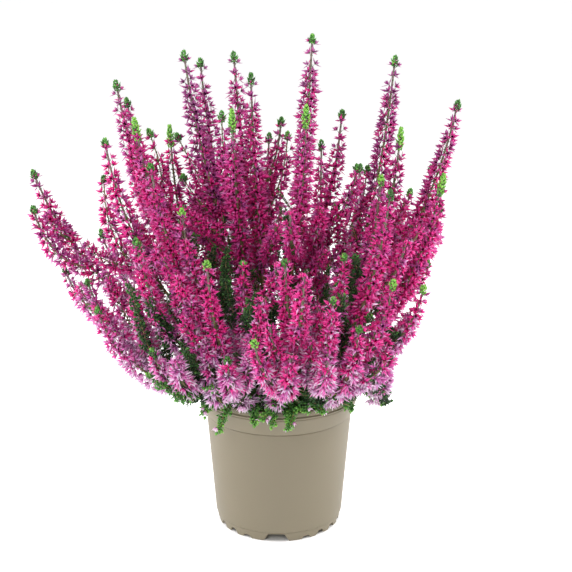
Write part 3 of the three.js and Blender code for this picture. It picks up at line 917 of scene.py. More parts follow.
# The green end of a raceme: tiers of short scale leaves that close over it in a dome
def addBudTip(bunch, path, tint, tall):
    total = distances(path)[-1]
    stray = budTip["stray"]
    tiers = max(5, round(tall / budTip["tier"]))
    for tier in range(tiers):
        share = tier / (tiers - 1)
        leaves = budTip["leaves"] if tier < tiers - 1 else 3
        where = total - tall * (1 - budTip["over"] * share)
        centre, ahead, side, up = framed(path, np.full(leaves, where))
        turn = 2 * np.pi * (np.arange(leaves) + tier * 0.5) / leaves
        radial = aside(side, up, turn + draw.normal(0, stray["around"], leaves))
        degrees = budTip["open"] * (1 - budTip["shuts"] * share ** 3) + draw.normal(0, stray["open"], leaves)
        ways, facing = openedBy(degrees, ahead, radial)
        length = budTip["length"] * (0.8 + 0.4 * math.sin(math.pi * share ** 0.7))
        length = length * draw.uniform(*stray["length"], leaves)
        shades = tint + budTip["brighter"] * share + draw.normal(0, stray["tint"], leaves)
        addBlades(bunch, centre + radial * 0.5, ways, facing, length, budTip["width"], leafStray["curl"],
                  shades, leafPart, thick=1.1)


# How the racemes of each cutting differ from the rest: how much paler, and how many florets are violet
moods = {
    "middle": (-0.03, 0.06),
    "left": (0.06, 0.24),
    "frontLeft": (0.0, 0.16),
    "frontRight": (-0.03, 0.06),
    "right": (0.0, 0.12),
    "backRight": (0.0, 0.4),
    "backLeft": (0.02, 0.35),
}
violetOnes = {"left_1": 0.55, "left_2": 0.6, "right_3": 0.6, "frontLeft_1": 0.5, "middle_1": 0.45}
variety = {
    "paler": (-0.07, 0.06),
    "violet": (0.4, 1.6),  # times the share of its cutting
    "twist": (-0.6, 0.6),  # radians
    "green": (0.32, 0.6),  # tint of the green end
    "brightGreen": 0.86,
    "smallTip": 0.5,
}


# How one raceme differs from the rest: its tint, how much of it is violet, its twist and its green end
def racemeMood(name, cutting):
    seed = sum(ord(letter) * (3 * index + 7) for index, letter in enumerate(name)) % 997
    own = np.random.default_rng(seed)
    short = name.removeprefix("raceme_")
    tall = budTip["tallLong"] if short in budTip["long"] else own.uniform(*budTip["tall"])
    tall *= variety["smallTip"] if short in budTip["small"] else 1.0
    green = variety["brightGreen"] if short in budTip["bright"] else own.uniform(*variety["green"])
    paler, violet = moods[cutting]
    violet = violetOnes.get(short, violet * own.uniform(*variety["violet"]))
    paler += own.uniform(*variety["paler"])
    return paler, violet, own.uniform(*variety["twist"]), green, tall


def makeRaceme(stem, sides, materials):
    bunch = Bunch()
    short = stem["name"].removeprefix("raceme_")
    for part in (stem, *sides):
        total = distances(part["path"])[-1]
        bloomLength = min(part["bloomLength"], total)
        look = list(racemeMood(stem["name"], stem["cutting"]))
        if part["fused"]:
            look[-1] = budTip["tall"][0] * (short in budTip["sides"])
        addFlowers(bunch, part["path"], bloomLength, *look)
        where = np.linspace(total - bloomLength, total - look[-1] * 0.4, 16)
        addStem(bunch, along(part["path"], where)[0], flower["stemRadius"], sides=5, tints=(0.66, 0.04))
    place(bunch.build(stem["name"] + "_bloom", materials), "heather_flowers", stem["name"])


# Leafy stems

leafage = {
    "stemRadius": 1.25,
    "sprigRadius": 0.8,
    "sprigEnd": 7.0,  # how far from its tip a sprig's buds hang
    "shootGap": 5.5,
    "shootLength": (13.0, 26.0),
    "shootLean": (0.5, 1.0),  # along the stem, to one outwards
    "shootTint": (0.06, 0.18),  # how far it strays, and how much brighter their ends are
    "shootRoom": 2.5,  # over the pot and the peat
    "baseShoots": 14,  # short shoots round each cutting's foot
    "baseLength": (24, 40),
    "baseLean": (45, 85),  # degrees from upright
    "baseUp": (0.7, 1.0),  # share of the way from the foot to the fork
    "thickFor": 24.0,  # how far the crowded leaves reach down from a low raceme
    "thickBelow": 170.0,
}

# Short crowded branchlets, as on the sprigs and round the rim
tuft = {
    "gap": 2.5,
    "length": (4.0, 8.0),
    "lean": (0.5, 0.9),  # how far they point along the sprig, and how much more at its end
    "shorter": (1.1, 0.4),  # their length at its foot, and how much shorter they are at its end
    "tints": (-0.05, 0.22),  # of their feet and of their tips, from the sprig's
    "budSize": 0.72,
    "budOpen": -40.0,
    "budTint": 0.95,
}
skirt = {
    "around": 66,
    "from": 32.0,
    "height": 113.0,
    "reach": (22.0, 42.0, 58.0),  # of each tier
    "rise": (0.1, 0.5, 0.62),
    "belongs": 48.0,  # how far out a sprig's nearest cutting is looked for
    "wander": 6.0,  # degrees off the way out
    "lengthRange": (0.85, 1.15),
    "sink": -0.18,
}


def shootPath(start, way, length, rise, samples=7):
    t = np.linspace(0, 1, samples)[:, None]
    return start + way * length * t + np.array((0, 0, 1.0)) * rise * length * t ** 2


# A way that leans this far from upright, towards this side
def headed(turn, lean):
    return np.array((math.cos(turn) * math.sin(lean), math.sin(turn) * math.sin(lean), math.cos(lean)))


def overPot(path, radius):
    path[:, 2] = np.maximum(path[:, 2], lowest(path, radius))
    return path


def addShoot(bunch, path, tint, endTint, scale=1.0):
    total = distances(path)[-1]
    addStem(bunch, path, (0.6 * scale, 0.3 * scale), sides=3, tints=(0.75, 0.45))
    addLeaves(bunch, path, total * 0.06, total, "shoot", tint, radius=0.3, endTint=endTint, scale=scale)
    centre, ahead, side, up = framed(path, np.full(4, total - 0.6))
    radial = aside(side, up, np.arange(4) * np.pi / 2 + 0.4)
    addBlades(bunch, centre, unit(ahead + radial * 0.3), unit(ahead * 0.3 - radial),
              length=2.2 * scale, width=0.9 * scale, curl=-0.1, tint=endTint, finish=leafPart)


# The ways round a path that what grows on it takes, in a spiral
def spiral(side, up):
    for index in range(len(side)):
        yield index, aside(side[index], up[index], index * 2.4 + draw.normal(0, 0.3))


def addSideShoots(bunch, path, start, end, tint):
    where = np.arange(start, end, leafage["shootGap"])
    if not len(where):
        return
    strayTint, brighter = leafage["shootTint"]
    places, ahead, side, up = framed(path, where + draw.uniform(-2, 2, len(where)))
    for index, radial in spiral(side, up):
        way = unit(ahead[index] * draw.uniform(*leafage["shootLean"]) + radial)
        length = draw.uniform(*leafage["shootLength"])
        shoot = overPot(shootPath(places[index], way, length, 0.25, 5), leafage["shootRoom"])
        addShoot(bunch, shoot, tint + draw.normal(0, strayTint), tint + brighter)


# A sprig set all round with crowded branchlets of scale leaves, and with pale buds at its end
def addTufts(bunch, path, start, tint, endTint, gap=1.0, buds=0):
    total = distances(path)[-1]
    count = int((total - start) / (tuft["gap"] * gap)) + 1
    shares = (np.arange(count) + 0.5) / count
    places, ahead, side, up = framed(path, start + (total - start) * shares)
    footLean, endLean = tuft["lean"]
    longest, shorter = tuft["shorter"]
    darker, brighter = tuft["tints"]
    for index, radial in spiral(side, up):
        share = shares[index]
        way = unit(ahead[index] * (footLean + endLean * share) + radial)
        length = draw.uniform(*tuft["length"]) * (longest - shorter * share)
        twig = places[index] + way * length * np.array([[0.0], [0.5], [1.0]])
        shade = blend(share, tint, endTint) + draw.normal(0, 0.06)
        addLeaves(bunch, twig, 0.2, length, "tuft", shade + darker, radius=0.25, endTint=shade + brighter)
    if buds:
        centre, ahead, side, up = framed(path, total - draw.uniform(0, 6, buds))
        radial = aside(side, up, draw.uniform(0, 2 * np.pi, buds))
        size, opening, shade = [np.full(buds, tuft[name]) for name in ("budSize", "budOpen", "budTint")]
        none = np.zeros(buds, bool)
        axes = unit(ahead + radial * 0.6 - (0, 0, 0.6))
        addFlorets(bunch, centre + radial * 2.5, axes, size, opening, shade, none, none)


def addSprig(bunch, path, total):
    addLeaves(bunch, path, 8, total, "sprig", tint=0.5, radius=0.5, endTint=0.8)
    addTufts(bunch, path, 10, tint=0.4, endTint=0.75, gap=0.6, buds=3)


def addBranch(bunch, path, bare):
    addLeaves(bunch, path, 6, bare, "stem", tint=0.25, radius=0.9, endTint=0.4)
    addSideShoots(bunch, path, 10, bare - 4, tint=0.25)
    near = along(path, np.linspace(max(bare - leafage["thickFor"], 6), bare, 8))[0]
    if near[-1, 2] < leafage["thickBelow"]:
        addTufts(bunch, near, 0, tint=0.2, endTint=0.45, gap=0.9)


def makeCutting(cutting, plan, stems, materials):
    bunch = Bunch()
    foot = np.array((*plan["foot"], trunk["root"]), float)
    fork = forkOf(plan["foot"])
    bark = foot + (fork - foot) * np.linspace(0, 1, 9)[:, None]
    addStem(bunch, bark, (trunk["radius"], trunk["tipRadius"]), sides=9, tints=(1.0, 0.9), ripple=0.06)
    for stem in stems:
        total = distances(stem["path"])[-1]
        bare = total - stem["bloomLength"]
        isSprig = not stem["bloomLength"]
        thick = leafage["sprigRadius" if isSprig else "stemRadius"]
        where = np.linspace(0, bare - (8 if isSprig else 0), 18)
        addStem(bunch, along(stem["path"], where)[0], (thick, 0.75 * thick), sides=6, tints=(0.98, 0.78))
        if isSprig:
            addSprig(bunch, along(stem["path"], np.linspace(0, total - leafage["sprigEnd"], 24))[0], total)
        else:
            addBranch(bunch, stem["path"], bare)
    for index in range(leafage["baseShoots"]):
        around = 2 * np.pi * index / leafage["baseShoots"] + draw.normal(0, 0.2)
        way = headed(around, math.radians(draw.uniform(*leafage["baseLean"])))
        start = blend(draw.uniform(*leafage["baseUp"]), foot, fork)
        shoot = shootPath(start, way, draw.uniform(*leafage["baseLength"]), 0.15)
        shoot = overPot(shoot, leafage["shootRoom"])
        addShoot(bunch, shoot, tint=0.22 + draw.uniform(0, 0.15), endTint=0.5, scale=1.1)
    addSkirt(bunch, cutting)
    place(bunch.build("cutting_" + cutting + "_leaves", materials), "leafy_stems", "cutting_" + cutting)


# The cutting whose foot is nearest to here
def nearest(x, y):
    return min(cuttings, key=lambda name: math.dist(cuttings[name]["foot"], (x, y)))


# Leafy sprigs low all round, over the peat, the rim and under the flowers, in tiers
def addSkirt(bunch, cutting):
    for index in range(skirt["around"]):
        around = 2 * math.pi * index / skirt["around"]
        out = np.array((math.cos(around), math.sin(around)))
        if nearest(*(out * skirt["belongs"])) != cutting:
            continue
        tier = index % len(skirt["reach"])
        wander = around + math.radians(draw.normal(0, skirt["wander"]))
        way = np.array((math.cos(wander), math.sin(wander), skirt["rise"][tier] * draw.uniform(0.8, 1.2)))
        length = skirt["reach"][tier] * draw.uniform(*skirt["lengthRange"])
        start = (*(out * skirt["from"]), skirt["height"])
        path = overPot(shootPath(start, way, length, skirt["sink"]), 2.2)
        addStem(bunch, path, radii=(0.7, 0.4), sides=3, tints=(0.8, 0.5))
        addTufts(bunch, path, length * 0.15, tint=0.24, endTint=0.56, buds=2 if tier else 0)


# Short racemes between the long ones. Each leaves a long stem and ends in a free place.
shortOnes = {
    "most": 158,
    "tries": 9000,
    "length": (34.0, 60.0),
    "rise": (0.2, 0.6),
    "lean": (15.0, 80.0),  # degrees from upright
    "turn": 50.0,  # degrees off the way out from the middle
    "apart": 10.0,
    "farthest": 24.0,
    "bloom": 0.86,  # share in flower
    "green": 0.12,  # share with a green end
    "greenSize": 0.7,
    "leafy": (0.55, 0.06),  # share that has no flowers, low down and higher up
    "leafyBelow": 200.0,
    "leafyAngles": (40.0, 10.0),
    "top": (300.0, 0.0035),  # height of the dome that they stay under, and its fall
    "skirt": (111.0, 75.0, 0.9),  # they stay over this height, which rises from this far out
    "middle": (-22.0, 5.0),  # of the plant, which leans a little to one side
    "widest": 140.0,  # from there
}
edgeRow = {
    "count": 20,
    "from": (34, 42),
    "height": 112.0,
    "length": (34, 44),
    "rise": (0.35, 0.7),
    "room": 7.5,
}

# Curves from the stem nearest their base, by cutting: x, y, z of the base and of the tip, and how far
# from upright they leave and end, in degrees. These are racemes of middling length.
between = {
    "left": [
        (-74, 4, 216, -101, 12, 319, 12, 26), (-50, 8, 223, -80, 18, 315, 12, 25),
        (-99, -14, 190, -132, -20, 288, 62, -4), (-129, -25, 178, -154, -20, 204, 80, 20),
        (-166, -8, 222, -179, -6, 256, 30, 5), (-118, -14, 204, -147, -20, 236, 62, 24),
    ],
    "middle": [
        (-37, -4, 239, -43, -8, 335, 8, -3), (-6, 20, 230, 7, 34, 314, 24, 0),
        (-52, -6, 226, -74, -4, 286, 20, 20),
    ],
    "right": [
        (59, 15, 190, 70, 22, 289, 4, 8), (79, -10, 151, 126, 4, 261, 44, 8),
        (68, -30, 131, 85, -46, 160, 62, 10), (65, -36, 121, 80, -60, 140, 82, 40),
        (96, -6, 190, 124, -12, 268, 30, 6), (101, -22, 172, 115, -16, 221, 30, 5),
    ],
    "frontLeft": [(-47, -58, 123, -53, -78, 176, 62, 10), (-22, -76, 128, -20, -94, 172, 55, 10)],
    "frontRight": [(21, -80, 143, 23, -98, 184, 50, 10)],
}

# Leafy shoots without flowers, to be seen between the racemes. Their dark green is painted shade in the gaps.
# Those with angles hang out low.
leafy = {
    "frontLeft": [
        (-37, -44, 180, -39, -46, 228), (-14, -66, 178, -15, -72, 209), (-56, -70, 137, -65, -94, 173),
        (-56, -50, 126, -82, -74, 145), (-55, -40, 119, -72, -72, 136), (-81, -54, 161, -89, -66, 183),
        (-38, -44, 181, -38, -50, 240), (-39, -60, 179, -39, -66, 218), (-63, -30, 206, -64, -30, 243),
        (-16, -56, 162, -16, -62, 206), (-80, -56, 161, -85, -64, 190), (-67, -58, 133, -70, -76, 171),
        (-59, -66, 133, -63, -84, 166), (-70, -40, 138, -98, -34, 163), (-77, -44, 149, -86, -44, 168),
        (-20, -84, 175, -20, -96, 211), (-94, -58, 168, -95, -72, 205),
        (-59, -72, 135, -86, -96, 149, 85, 62), (-56, -70, 129, -74, -98, 141, 85, 62),
        (-81, -74, 145, -94, -84, 151, 80, 60),
    ],
    "frontRight": [
        (48, -70, 187, 46, -82, 211), (24, -62, 121, 22, -80, 146), (50, -55, 118, 54, -66, 127),
        (45, -50, 176, 42, -58, 213), (49, -62, 164, 47, -70, 205), (63, -52, 151, 61, -60, 190),
    ],
    "right": [
        (58, -44, 204, 56, -52, 234), (79, -50, 142, 81, -72, 164), (76, -34, 167, 74, -40, 199),
        (54, -46, 184, 53, -54, 219), (68, -66, 163, 66, -76, 195), (72, -62, 137, 68, -82, 163),
    ],
    "left": [(-46, -16, 190, -50, -20, 232)],
    "middle": [(-5, -4, 146, -5, -8, 188), (7, 0, 217, 6, 0, 256), (12, 6, 225, 11, 6, 254)],
}

# Racemes that close what the others leave open, grown after them
closing = {
    "right": [(50, 6, 188, 45, 6, 262, 8, -4)],
    "middle": [(24, 4, 196, 38, 10, 240, 40, 0)],
}

# Bright tufts that lie over the rim, from their start to their tip
overRim = {
    "frontLeft": [(-17, -46, 114, -19, -68, 111), (-3, -48, 114, -5, -70, 112)],
    "frontRight": [(6, -48, 114, 8, -71, 110), (14, -46, 114, 20, -62, 118)],
    "left": [(-46, -32, 114, -56, -43, 110)],
    "right": [(42, -34, 114, 54, -48, 116)],
}


# Clefts that the random ones leave open to the dark inside: x from and to, and z from and to, where a
# cleft crosses this depth. Inwards they run down.
clefts = {
    "depth": -60.0,
    "fall": 0.29,
    "before": -25.0,
    "room": 6.0,
    "places": [
        (-42, -33, 190, 241),
        (-65, -58, 232, 251),
        (-21, -12, 172, 209),
        (36, 49, 192, 215),
        (57, 66, 164, 192),
        (66, 78, 186, 206),
        (-90, -76, 168, 189),
        (-76, -61, 136, 170),
    ],
}


def clearOfClefts(path):
    x, y, z = path[2:].T
    level = z + clefts["fall"] * (y - clefts["depth"])
    room = clefts["room"]
    inside = [(x > left - room) & (x < right + room) & (level > low - room) & (level < high + room)
              for left, right, low, high in clefts["places"]]
    return not (np.any(inside, axis=0) & (y < clefts["before"])).any()


def isFree(path, taken):
    out = np.hypot(path[:, 0], path[:, 1])
    base, inner, rise = shortOnes["skirt"]
    top, fall = shortOnes["top"]
    isLow = (path[:, 2] < base + rise * np.maximum(out - inner, 0)).any()
    isHigh = path[-1, 2] > top - fall * out[-1] ** 2
    if isLow or isHigh or np.linalg.norm(path[-1, :2] - shortOnes["middle"]) > shortOnes["widest"]:
        return False
    apart = np.linalg.norm(path[2:, None] - taken[None], axis=2).min(axis=1)
    return apart.min() > shortOnes["apart"] and apart[-1] < shortOnes["farthest"]


# Each curve of such a list, from the nearest place on its cutting's stems. With anyFirst it may also be on
# the first stem of any other.
def curvesOf(listed, stems, samples, angles=None, anyFirst=False):
    for cutting, curves in listed.items():
        own = [stem for stem in stems if stem["cutting"] == cutting or (anyFirst and not stem["main"])]
        near = np.concatenate([stem["path"] for stem in own])
        for curve in curves:
            base, tip = np.array(curve[:3], float), np.array(curve[3:6], float)
            start = near[np.linalg.norm(near - base, axis=1).argmin()]
            leave, arrive = np.radians(curve[6:] or angles)
            yield cutting, arch(start, tip, leave, arrive, samples), len(curve) > 6


# A path at random, from a long stem and outwards
def strayPath(mains):
    stem = mains[layout.integers(len(mains))]
    bare = distances(stem["path"])[-1] - 0.6 * stem["bloomLength"]
    start = along(stem["path"], np.array([layout.uniform(0.05, 1.0) * bare]))[0][0]
    turn = math.atan2(start[1], start[0]) + math.radians(layout.normal(0, shortOnes["turn"]))
    way = headed(turn, math.radians(layout.uniform(*shortOnes["lean"])))
    length, rise = layout.uniform(*shortOnes["length"]), layout.uniform(*shortOnes["rise"])
    return stem["cutting"], shootPath(start, way, length, rise)


# The short racemes and leafy shoots, in this order: those between, the leafy ones, those over the rim, a
# row low round the pot, those at random where there is room, and the last that close gaps
def growShort(stems):
    row = edgeRow
    inBloomOnes = [stem for stem in stems if stem["bloomLength"]]
    mains = [stem for stem in inBloomOnes if not stem["fused"]]
    taken, grown = [], []

    def take(path, first=6.0):
        taken.append(along(path, np.arange(first, distances(path)[-1], 4.0))[0])

    def keep(cutting, path, **look):
        grown.append({"cutting": cutting, "path": path, **look})

    for stem in inBloomOnes:
        take(stem["path"], max(distances(stem["path"])[-1] - stem["bloomLength"], 0))
    for cutting, path, _ in curvesOf(between, stems, 12, anyFirst=True):
        take(path)
        keep(cutting, path)
    for cutting, path, hangs in curvesOf(leafy, stems, 10, shortOnes["leafyAngles"]):
        take(path)
        keep(cutting, path, leafy=0.6, bright=0.2 if hangs else 0.0)
    for cutting, tufts in overRim.items():
        for ends in tufts:
            path = overPot(np.linspace(ends[:3], ends[3:], 9), 2.6)
            path = np.concatenate([path, path[-1:] + unit(path[-1] - path[0] + (0, 0, -14.0)) * 3])
            keep(cutting, path, leafy=0.45, bright=0.3)
    for index in range(row["count"]):
        out = headed(2 * math.pi * (index + layout.uniform(-0.3, 0.3)) / row["count"], math.pi / 2)
        start = out * layout.uniform(*row["from"]) + (0, 0, row["height"])
        path = shootPath(start, out, layout.uniform(*row["length"]), layout.uniform(*row["rise"]))
        take(overPot(path, row["room"]))
        keep(nearest(*start[:2]), path, leafy=0.6 if index % 3 == 1 else None)
    for _ in range(shortOnes["tries"]):
        if len(grown) == shortOnes["most"]:
            break
        cutting, path = strayPath(mains)
        if isFree(path, np.concatenate(taken)):
            take(path)
            isLeafy = layout.random() < shortOnes["leafy"][int(path[-1, 2] > shortOnes["leafyBelow"])]
            if clearOfClefts(path):
                keep(cutting, path, leafy=0.7 if isLeafy else None)
    for cutting, path, _ in curvesOf(closing, stems, 12):
        keep(cutting, path)
    return grown


def makeShort(cutting, grown, materials):
    bunch = Bunch()
    for index, shoot in enumerate(grown):
        path = shoot["path"]
        total = distances(path)[-1]
        if shoot.get("leafy"):
            bright = shoot.get("bright", 0.0)
            # Leafy shoots get dark tints: painted shade between the racemes. Those given bright are lighter.
            addStem(bunch, path, radii=(0.7, 0.4), sides=3, tints=(0.8, 0.5))
            addTufts(bunch, path, 1.0, tint=0.12 + bright, endTint=0.3 + 1.5 * bright, gap=shoot["leafy"])
            continue
        look = list(racemeMood(f"{cutting}{index}", cutting))
        if total < shortOnes["length"][1] * 1.3:
            look[-1] *= shortOnes["greenSize"] * (draw.random() < shortOnes["green"])
        addFlowers(bunch, path, total * shortOnes["bloom"], *look)
        addLeaves(bunch, path, 0, total * (1 - shortOnes["bloom"]), "shortFoot", tint=0.35, radius=0.4)
        where = np.linspace(0, total - look[-1] * 0.4, 7)
        addStem(bunch, along(path, where)[0], radii=(0.8, 0.5), sides=4, tints=(0.66, 0.3))
    place(bunch.build("shortRacemes_" + cutting, materials), "heather_flowers")


# Pot

footRing = {
    "turn": -92.3,  # degrees from +X to the first wide opening
    "thirds": 3,
    "arches": [(0, 18, 6.8), (28, 6, 2.8), (44, 6, 4.4), (60, 6, 4.4), (76, 6, 4.4), (92, 6, 2.8)],
    "topShare": 0.72,
    "round": 1.3,
    "cut": (-4.6, 4.0),  # from the outside of the ring
}
drain = {"count": 6, "radius": 5.0, "ring": 34.0, "sides": 28}
potSides = 180


# The outline with each corner turned in an arc of about this radius
def rounded(corners, radius, steps):
    outline = []
    for index, corner in enumerate(corners):
        before, after = corners[index - 1] - corner, corners[(index + 1) % len(corners)] - corner
        size = min(radius, np.linalg.norm(before) * 0.45, np.linalg.norm(after) * 0.45)
        start, end = corner + unit(before) * size, corner + unit(after) * size
        for t in np.linspace(0, 1, steps + 1):
            outline.append((1 - t) ** 2 * start + 2 * t * (1 - t) * corner + t ** 2 * end)
    return outline


# How far out and how high each corner of the wall is, from the middle of the floor out, up and back in.
# What is added to a size is the fine rounding there.
def potProfile():
    p = SimpleNamespace(**potSize)
    padFoot = p.pad + 4
    step = p.bodyFoot - p.footStep
    neck = p.bodyTop - 0.5 * p.groove
    sharp = [
        (0.01, 0.0), (p.pad, 0.0), (padFoot, p.floor),
        (p.foot - p.footWidth - 0.4, p.floor), (p.foot - p.footWidth, 0.0), (p.foot, 0.0),
        (step, p.footHeight - 0.3), (step - 0.4 * p.groove, p.footHeight), (p.bodyFoot, p.footHeight + 0.3),
        (p.bodyTop, p.bandFoot - 1.3), (neck, p.bandFoot - 0.8), (neck, p.bandFoot - 0.3),
        (p.band, p.bandFoot + 0.2), (p.band + 0.3, p.bandFoot + 1.4),
        (p.rim - 1.0, p.bead - 2.2), (p.rim - 1.0 - 0.6 * p.groove, p.bead - 1.3),
        (p.rim - 0.2, p.bead - 0.6), (p.rim, p.bead), (p.rim - 0.3, p.bead + 0.5),
        (p.lip - p.groove, p.bead + 1.0), (p.lip - 0.2, p.bead + 1.6), (p.lip, p.bead + 2.4),
        (p.lip - 0.1, p.height - 1.2), (p.lip - 0.7, p.height), (p.lip - p.wall - 0.6, p.height - 0.1),
        (p.band - p.wall - 0.9, p.bandFoot + 1), (p.bodyFoot - p.wall, p.floor + p.floorWall),
        (padFoot + 0.6, p.floor + p.floorWall), (p.pad + 0.6, p.floorWall), (0.01, p.floorWall),
    ]
    return rounded([np.array(corner) for corner in sharp], 0.4, 3)


# Rings round the upright axis, from how far out and how high each is
def ringsOf(mesh, profile, sides):
    turns = np.arange(sides) / sides * 2 * np.pi
    return [[mesh.verts.new((out * math.cos(t), out * math.sin(t), up)) for t in turns]
            for out, up in profile]


def joinRings(mesh, rings):
    for low, high in zip(rings, rings[1:]):
        for side in range(len(low)):
            after = (side + 1) % len(low)
            mesh.faces.new((low[side], low[after], high[after], high[side]))


def addPrism(mesh, *outlines):
    rings = [[mesh.verts.new(corner) for corner in outline] for outline in outlines]
    joinRings(mesh, rings)
    for ring in rings:
        mesh.faces.new(ring)


# A prism through the foot ring, with round corners at its top and flared at the surface
def addArchCutter(mesh, angle, width, height):
    half, top = width / 2, width / 2 * footRing["topShare"]
    arc = min(footRing["round"], height * 0.35)
    left = [(-half - 3, -1), (-half - arc, 0), (-top, height)]
    corners = [np.array(corner, float) for corner in left + [(-across, up) for across, up in reversed(left)]]
    outline = [corners[0], *rounded(corners, arc, 5)[6:-6], corners[-1]]
    out = np.array((math.cos(angle), math.sin(angle), 0.0))
    side = np.array((-math.sin(angle), math.cos(angle), 0.0))
    inner, outer = footRing["cut"]
    addPrism(mesh, *[[(potSize["foot"] + near) * out + across * side + (0, 0, up) for across, up in outline]
                     for near in (inner, outer)])


def addDrainCutter(mesh, angle):
    turns = np.arange(drain["sides"]) / drain["sides"] * 2 * np.pi
    circle = drain["ring"] * np.array((math.cos(angle), math.sin(angle)))
    circle = circle + drain["radius"] * np.stack([np.cos(turns), np.sin(turns)], axis=-1)
    floor = (potSize["floor"] - 3, potSize["floor"] + potSize["floorWall"] + 3)
    addPrism(mesh, *[[(*corner, up) for corner in circle] for up in floor])


def asObject(mesh, name, scale=mm):
    bmesh.ops.recalc_face_normals(mesh, faces=mesh.faces)
    bmesh.ops.scale(mesh, vec=(scale, scale, scale), verts=mesh.verts)
    data = bpy.data.meshes.new(name)
    mesh.to_mesh(data)
    mesh.free()
    return linked(bpy.data.objects.new(name, data))


def smoothBelow(piece, degrees):
    mesh = bmesh.new()
    mesh.from_mesh(piece.data)
    for face in mesh.faces:
        face.smooth = True
    for edge in mesh.edges:
        edge.smooth = len(edge.link_faces) == 2 and edge.calc_face_angle(4) < math.radians(degrees)
    mesh.to_mesh(piece.data)
    mesh.free()


def makePot():
    mesh = bmesh.new()
    rings = ringsOf(mesh, potProfile(), potSides)
    joinRings(mesh, rings + rings[:1])
    pot = asObject(mesh, "nurseryPot")
    cutters = bmesh.new()
    for third in range(footRing["thirds"]):
        for turn, width, height in footRing["arches"]:
            around = footRing["turn"] + 360 / footRing["thirds"] * third + turn
            addArchCutter(cutters, math.radians(around), width, height)
    for hole in range(drain["count"]):
        addDrainCutter(cutters, (hole + 0.5) / drain["count"] * 2 * math.pi)
    tool = asObject(cutters, "cutters")
    cut = pot.modifiers.new("openings", "BOOLEAN")
    cut.operation = "DIFFERENCE"
    cut.solver = "EXACT"
    cut.object = tool
    bpy.context.view_layer.update()
    shape = bpy.data.meshes.new_from_object(pot.evaluated_get(bpy.context.evaluated_depsgraph_get()))
    pot.modifiers.clear()
    pot.data = shape
    bpy.data.objects.remove(tool)
    shape.materials.clear()
    shape.materials.append(plasticFinish())
    smoothBelow(pot, 28)
    place(pot, "pot_plastic", "pot")


# Peat

peatShape = {
    "sides": 96,
    "rings": 40,
    "crowding": 0.8,  # of the rings towards the edge
    "foot": 60.0,
    "taper": 0.9,
    "edge": 101.5,  # its height there
    "fall": (20, 57),  # how far out it sinks from its crown to that height
}
crumbs = {"count": 1500, "size": (0.5, 1.7), "rough": 0.9, "farthest": 0.985, "sunk": 0.3}


def peatHeight(x, y):
    height = blend(smoothstep(np.hypot(x, y), *peatShape["fall"]), peatCrown - 0.4, peatShape["edge"])
    return height + crumbs["rough"] * (np.sin(x * 0.9 + y * 2.1) * np.cos(y * 1.3 - x * 0.4) * 0.5
                                       + np.sin(x * 2.3 - y * 0.7) * np.sin(y * 2.9 + x) * 0.4)


def makePeat():
    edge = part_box("peat")[1].x / mm - 0.1
    bunch = Bunch()
    sides, rings, foot = peatShape["sides"], peatShape["rings"], peatShape["foot"]
    radii = np.linspace(0, 1, rings + 1)[1:] ** peatShape["crowding"] * edge
    angles = np.arange(sides) / sides * 2 * np.pi
    x, y = radii[:, None] * np.cos(angles), radii[:, None] * np.sin(angles)
    top = np.stack([x, y, peatHeight(x, y)], axis=-1).reshape(-1, 3)
    bottom = top[-sides:] * (peatShape["taper"], peatShape["taper"], 0) + (0, 0, foot)
    points = np.concatenate([top, bottom, [[0, 0, peatHeight(0.0, 0.0)], [0, 0, foot]]])
    faces = []
    for side in range(sides):
        after = (side + 1) % sides
        for row in range(0, rings * sides, sides):
            here, below, beside = row + side, row + sides + side, row + sides + after
            faces += [(here, below, beside), (here, beside, row + after)]
        faces.append((len(points) - 2, side, after))
        faces.append((len(points) - 1, rings * sides + after, rings * sides + side))
    faces = np.array(faces)
    bunch.add(points, faces, (points[faces][..., :2] / edge + 1) / 2, 0)
    addCrumbs(bunch, edge)
    place(bunch.build("peatTop", [peatFinish()]), "peat", "peat")


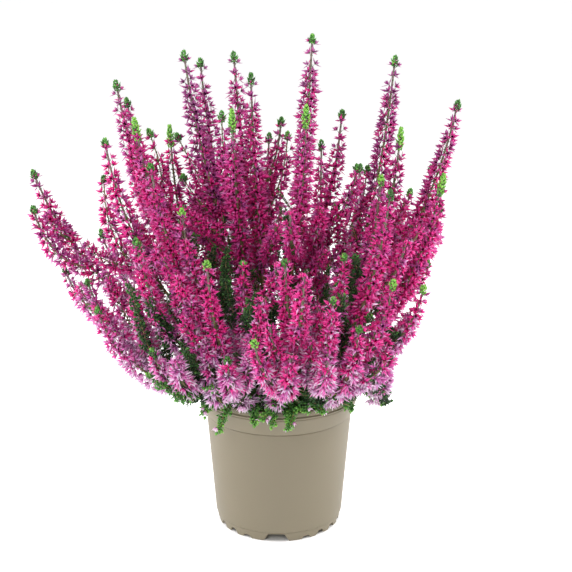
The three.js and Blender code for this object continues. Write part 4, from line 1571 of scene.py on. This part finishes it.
def addCrumbs(bunch, edge):
    corners = np.array([(1, 0, 0), (-1, 0, 0), (0, 1, 0), (0, -1, 0), (0, 0, 1), (0, 0, -1)], float)
    faces = np.array([(0, 2, 4), (2, 1, 4), (1, 3, 4), (3, 0, 4), (2, 0, 5), (1, 2, 5), (3, 1, 5), (0, 3, 5)])
    count = crumbs["count"]
    out = edge * np.sqrt(draw.random(count)) * crumbs["farthest"]
    turn = draw.uniform(0, 2 * np.pi, count)
    x, y = out * np.cos(turn), out * np.sin(turn)
    size = draw.uniform(*crumbs["size"], count)
    centres = np.stack([x, y, peatHeight(x, y) + size * crumbs["sunk"]], axis=-1)
    shape = corners[None] * draw.uniform(0.6, 1.3, (count, 6, 1)) + draw.normal(0, 0.15, (count, 6, 3))
    points = centres[:, None] + shape * size[:, None, None]
    shifts = np.arange(count)[:, None, None] * 6
    maps = (points[:, faces][..., :2] / edge + 1) / 2
    bunch.add(points.reshape(-1, 3), (faces + shifts).reshape(-1, 3), maps.reshape(-1, 3, 2), 0)


def makeFloor():
    mesh = bmesh.new()
    rings = ringsOf(mesh, studio["floorRings"], studio["floorSides"])
    mesh.faces.new(rings[0])
    joinRings(mesh, rings)
    floor = asObject(mesh, "floor", 1.0)
    floor.data.materials.append(floorFinish())


setCamera()
setLights()
makeFloor()
print("camera, lights and floor set")

stems = growStems()
bendClear(stems)
print("stems laid out:", len(stems))

grown = [
    grownFinish("petals", petalLook),
    grownFinish("violetPetals", violetLook),
    grownFinish("scaleLeaves", leafLook),
    grownFinish("stemBark", stemLook),
]
for stem in stems:
    if stem["bloomLength"] and not stem["fused"]:
        own = [side for side in stems if side["fused"] and side["main"] is stem]
        makeRaceme(stem, own, grown)
print("racemes made")

for cutting, plan in cuttings.items():
    ownStems = [stem for stem in stems if stem["cutting"] == cutting]
    makeCutting(cutting, plan, ownStems, grown)
print("leafy stems made")

shortRacemes = growShort(stems)
for cutting in cuttings:
    makeShort(cutting, [shoot for shoot in shortRacemes if shoot["cutting"] == cutting], grown)
print("short racemes made:", len(shortRacemes))

makePot()
makePeat()
print("pot and peat made")
